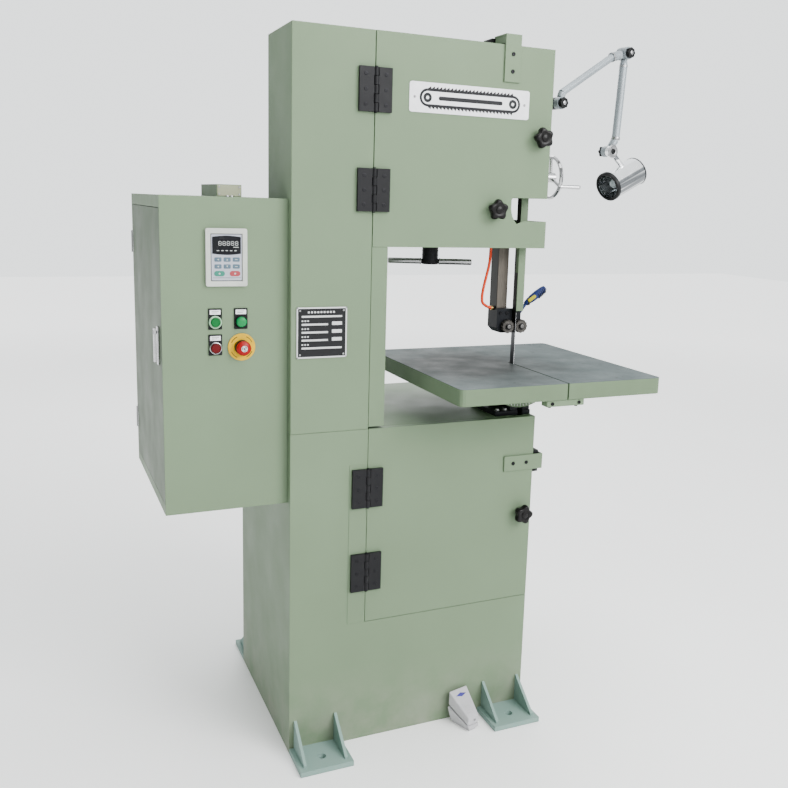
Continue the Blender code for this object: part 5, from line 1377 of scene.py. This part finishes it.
def lamp_sleeves():
    """The arms' round tubes, and the tapered sockets that carry them on towards their joints."""
    runs = {
        "lower": [((0.0, 0.0), (0.0133, 0.0286), 0.0185, 0.0325, 0.0088, 0.0098)],
        "upper": [((0.255, 0.16), (0.2546, 0.1286), 0.019, 0.033, 0.0098, 0.0116),
                  ((0.2165, -0.117), (0.2419, -0.0827), 0.018, 0.04, 0.009, 0.0108)],
    }
    tubes = {"lower": [lamp_spot(0.0133, 0.0286), lamp_spot(0.202, 0.1435)], "upper": smooth_route(
        [lamp_spot(0.2546, 0.1286), lamp_spot(0.2492, 0.0307), lamp_spot(0.2419, -0.0827)], 6),}
    for arm, sleeves in runs.items():
        bm = bmesh.new()
        for centre, tube_end, near, far, thin, thick in sleeves:
            start = lamp_spot(*centre)
            place = along(start, lamp_spot(*tube_end) - start)
            rings(bm, [
                (thin - 0.003, near), (thin - 0.0006, near), (thin, near + 0.001), (thick, far - 0.0008),
                (thick - 0.0008, far), (thin - 0.003, far)
            ], place, 32, closed=True)
        tube(bm, tubes[arm], 0.01 if arm == "lower" else 0.0116, 32)
        piece(f"{arm}_arm_sleeves", bm, "lamp_tube", f"lamp_{arm}_arm", 45)


def lamp_head_trim():
    """The shade's bezel, ribbed glass, reflector, bulb and rear cap, and the tubes' ferrules."""
    back = (
        SHADE_FACE[0] + SHADE_LENGTH * cos(SHADE_PITCH), SHADE_FACE[1] - SHADE_LENGTH * sin(SHADE_PITCH))
    mouth = lamp_spot(*SHADE_FACE)
    place = along(mouth, lamp_spot(*back) - mouth)
    turned("lamp_bezel", [
        (0.0352, -0.0016), (0.0372, -0.003), (0.0418, -0.0026), (0.0432, -0.0006), (0.0432, 0.0088),
        (0.0422, 0.0096), (0.0414, 0.009), (0.0414, 0.0008), (0.0352, 0.0008)
    ], place, "black_rubber", "lamp_head", "black_paint", 64, closed=True, smooth=40)
    turned("lamp_front_glass", [
        (0, 0.0022), (0.018, 0.0026), (0.036, 0.0034), (0.0372, 0.0052), (0.018, 0.0046), (0, 0.0042)
    ], place, "lamp_glass", "lamp_head", "white_plate", 56, smooth=60)
    turned("lamp_reflector", [
        (0.0368, 0.0072), (0.035, 0.018), (0.0305, 0.033), (0.0235, 0.047), (0.013, 0.0575), (0.013, 0.059),
        (0.0242, 0.0485), (0.0314, 0.034), (0.0359, 0.0186), (0.0374, 0.0076)
    ], place, "reflector", "lamp_head", "lamp_chrome", 56, closed=True, smooth=60)
    turned("lamp_bulb", [
        (0, 0.018), (0.006, 0.0188), (0.011, 0.022), (0.0135, 0.0275), (0.0125, 0.0345), (0.0085, 0.042),
        (0.0068, 0.048), (0.0068, 0.06), (0, 0.06)
    ], place, "white_plate", "lamp_head", "white_plate", 36, smooth=70)
    bm = bmesh.new()
    rings(bm, [
        (0, SHADE_LENGTH - 0.0002), (0.024, SHADE_LENGTH - 0.0002), (0.024, SHADE_LENGTH + 0.0026),
        (0.0222, SHADE_LENGTH + 0.004), (0, SHADE_LENGTH + 0.004)
    ], place, 40)
    washer(bm, 0.0426, 0.0412, SHADE_LENGTH - 0.013, SHADE_LENGTH - 0.0095, place, 64)
    piece("lamp_rear_cap", bm, "black_rubber", "lamp_head", 40)
    bm = bmesh.new()
    rings(
        bm,
        [(0.0108, 0.0), (0.0126, 0.0), (0.013, 0.001), (0.013, 0.0072), (0.0126, 0.0082), (0.0108, 0.0082)],
        along(lamp_spot(0.2424, -0.0745), lamp_spot(0.2419, -0.0827) - lamp_spot(0.2424, -0.0745)), 36,
        closed=True)
    rings(
        bm, [(0.0108, 0.0), (0.0124, 0.0), (0.0124, 0.005), (0.0108, 0.005)],
        along(lamp_spot(0.2545, 0.127), lamp_spot(0.2492, 0.0307) - lamp_spot(0.2546, 0.1286)), 36,
        closed=True)
    piece("upper_arm_ferrules", bm, "bright_steel", "lamp_upper_arm", 40)
    bm = bmesh.new()
    socket, tip = lamp_spot(0.202, 0.1435), lamp_spot(0.2369, 0.1542)
    rings(bm, [
        (0.0122, 0.0), (0.0134, 0.0), (0.0136, 0.0006), (0.0136, 0.004), (0.013, 0.0048), (0.0122, 0.0048)
    ], along(socket, tip - socket), 36, closed=True)
    piece("lower_arm_ferrules", bm, "bright_steel", "lamp_lower_arm", 40)
    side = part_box("lamp_mount")[0].x + 0.0086
    base, _ = joint("lamp_base_joint")
    places = [
        facing((side, base.y + y, base.z + z), (0, 1, 0), (0, 0, 1))
        for y in (-0.021, 0.021) for z in (-0.023, 0.023)
    ]
    fasteners("lamp_mount_screws", socket_screw, places, (0.0042, 0.003), "bright_steel", "frame")


# ---- Foot switch --------------------------------------------------------------------------------------
def pedal_trim():
    """A generic blue mark and grip ribs on the cover, and the nose screw."""
    pivot, axis = joint("pedal_press")
    right = -Vector(axis)
    ahead = UP.cross(right)
    start = pivot + ahead * 0.066
    start.z = 0.0
    slope = (ahead * 0.072 + UP * 0.052).normalized()
    top = facing(start + UP * 0.094, right, slope)
    bm = bmesh.new()
    mark = [(-0.0185, -0.019), (0.0, -0.025), (0.0185, -0.019), (0.0, -0.013)]
    slab(bm, mark, -0.0003, 0.0003, top, 0.0001)
    piece("pedal_mark", bm, "blue_print", "pedal_cover")
    bm = bmesh.new()
    for rib in range(4):
        v = -0.056 - rib * 0.007
        slab(bm, oblong(-0.0135, v, 0.0135, v + 0.0024, 0.0011, 3), -0.0004, 0.0008, top, 0.0004)
    piece("pedal_ribs", bm, "pedal_plastic", "pedal_cover")
    nose = facing(start - ahead * 0.072 + UP * 0.031, right, UP)
    places = [shifted(nose, 0.004, 0)]
    fasteners("pedal_screw", socket_screw, places, (0.0036, 0.001), "bright_steel", "pedal_cover")


STEPS = (
    camera, studio, air_hose, dress_nodes, hinge_screws, knobs, brackets, plates, speed_panel, push_buttons,
    stop_mushroom, cabinet_trim, guide_rollers, guide_block_trim, air_nozzle, blade_teeth, wheel_trim,
    drive_trim, rear_cover_trim, table_trim, handle_trim, lamp_joints, lamp_sleeves, lamp_head_trim,
    pedal_trim)

for step in STEPS:
    step()
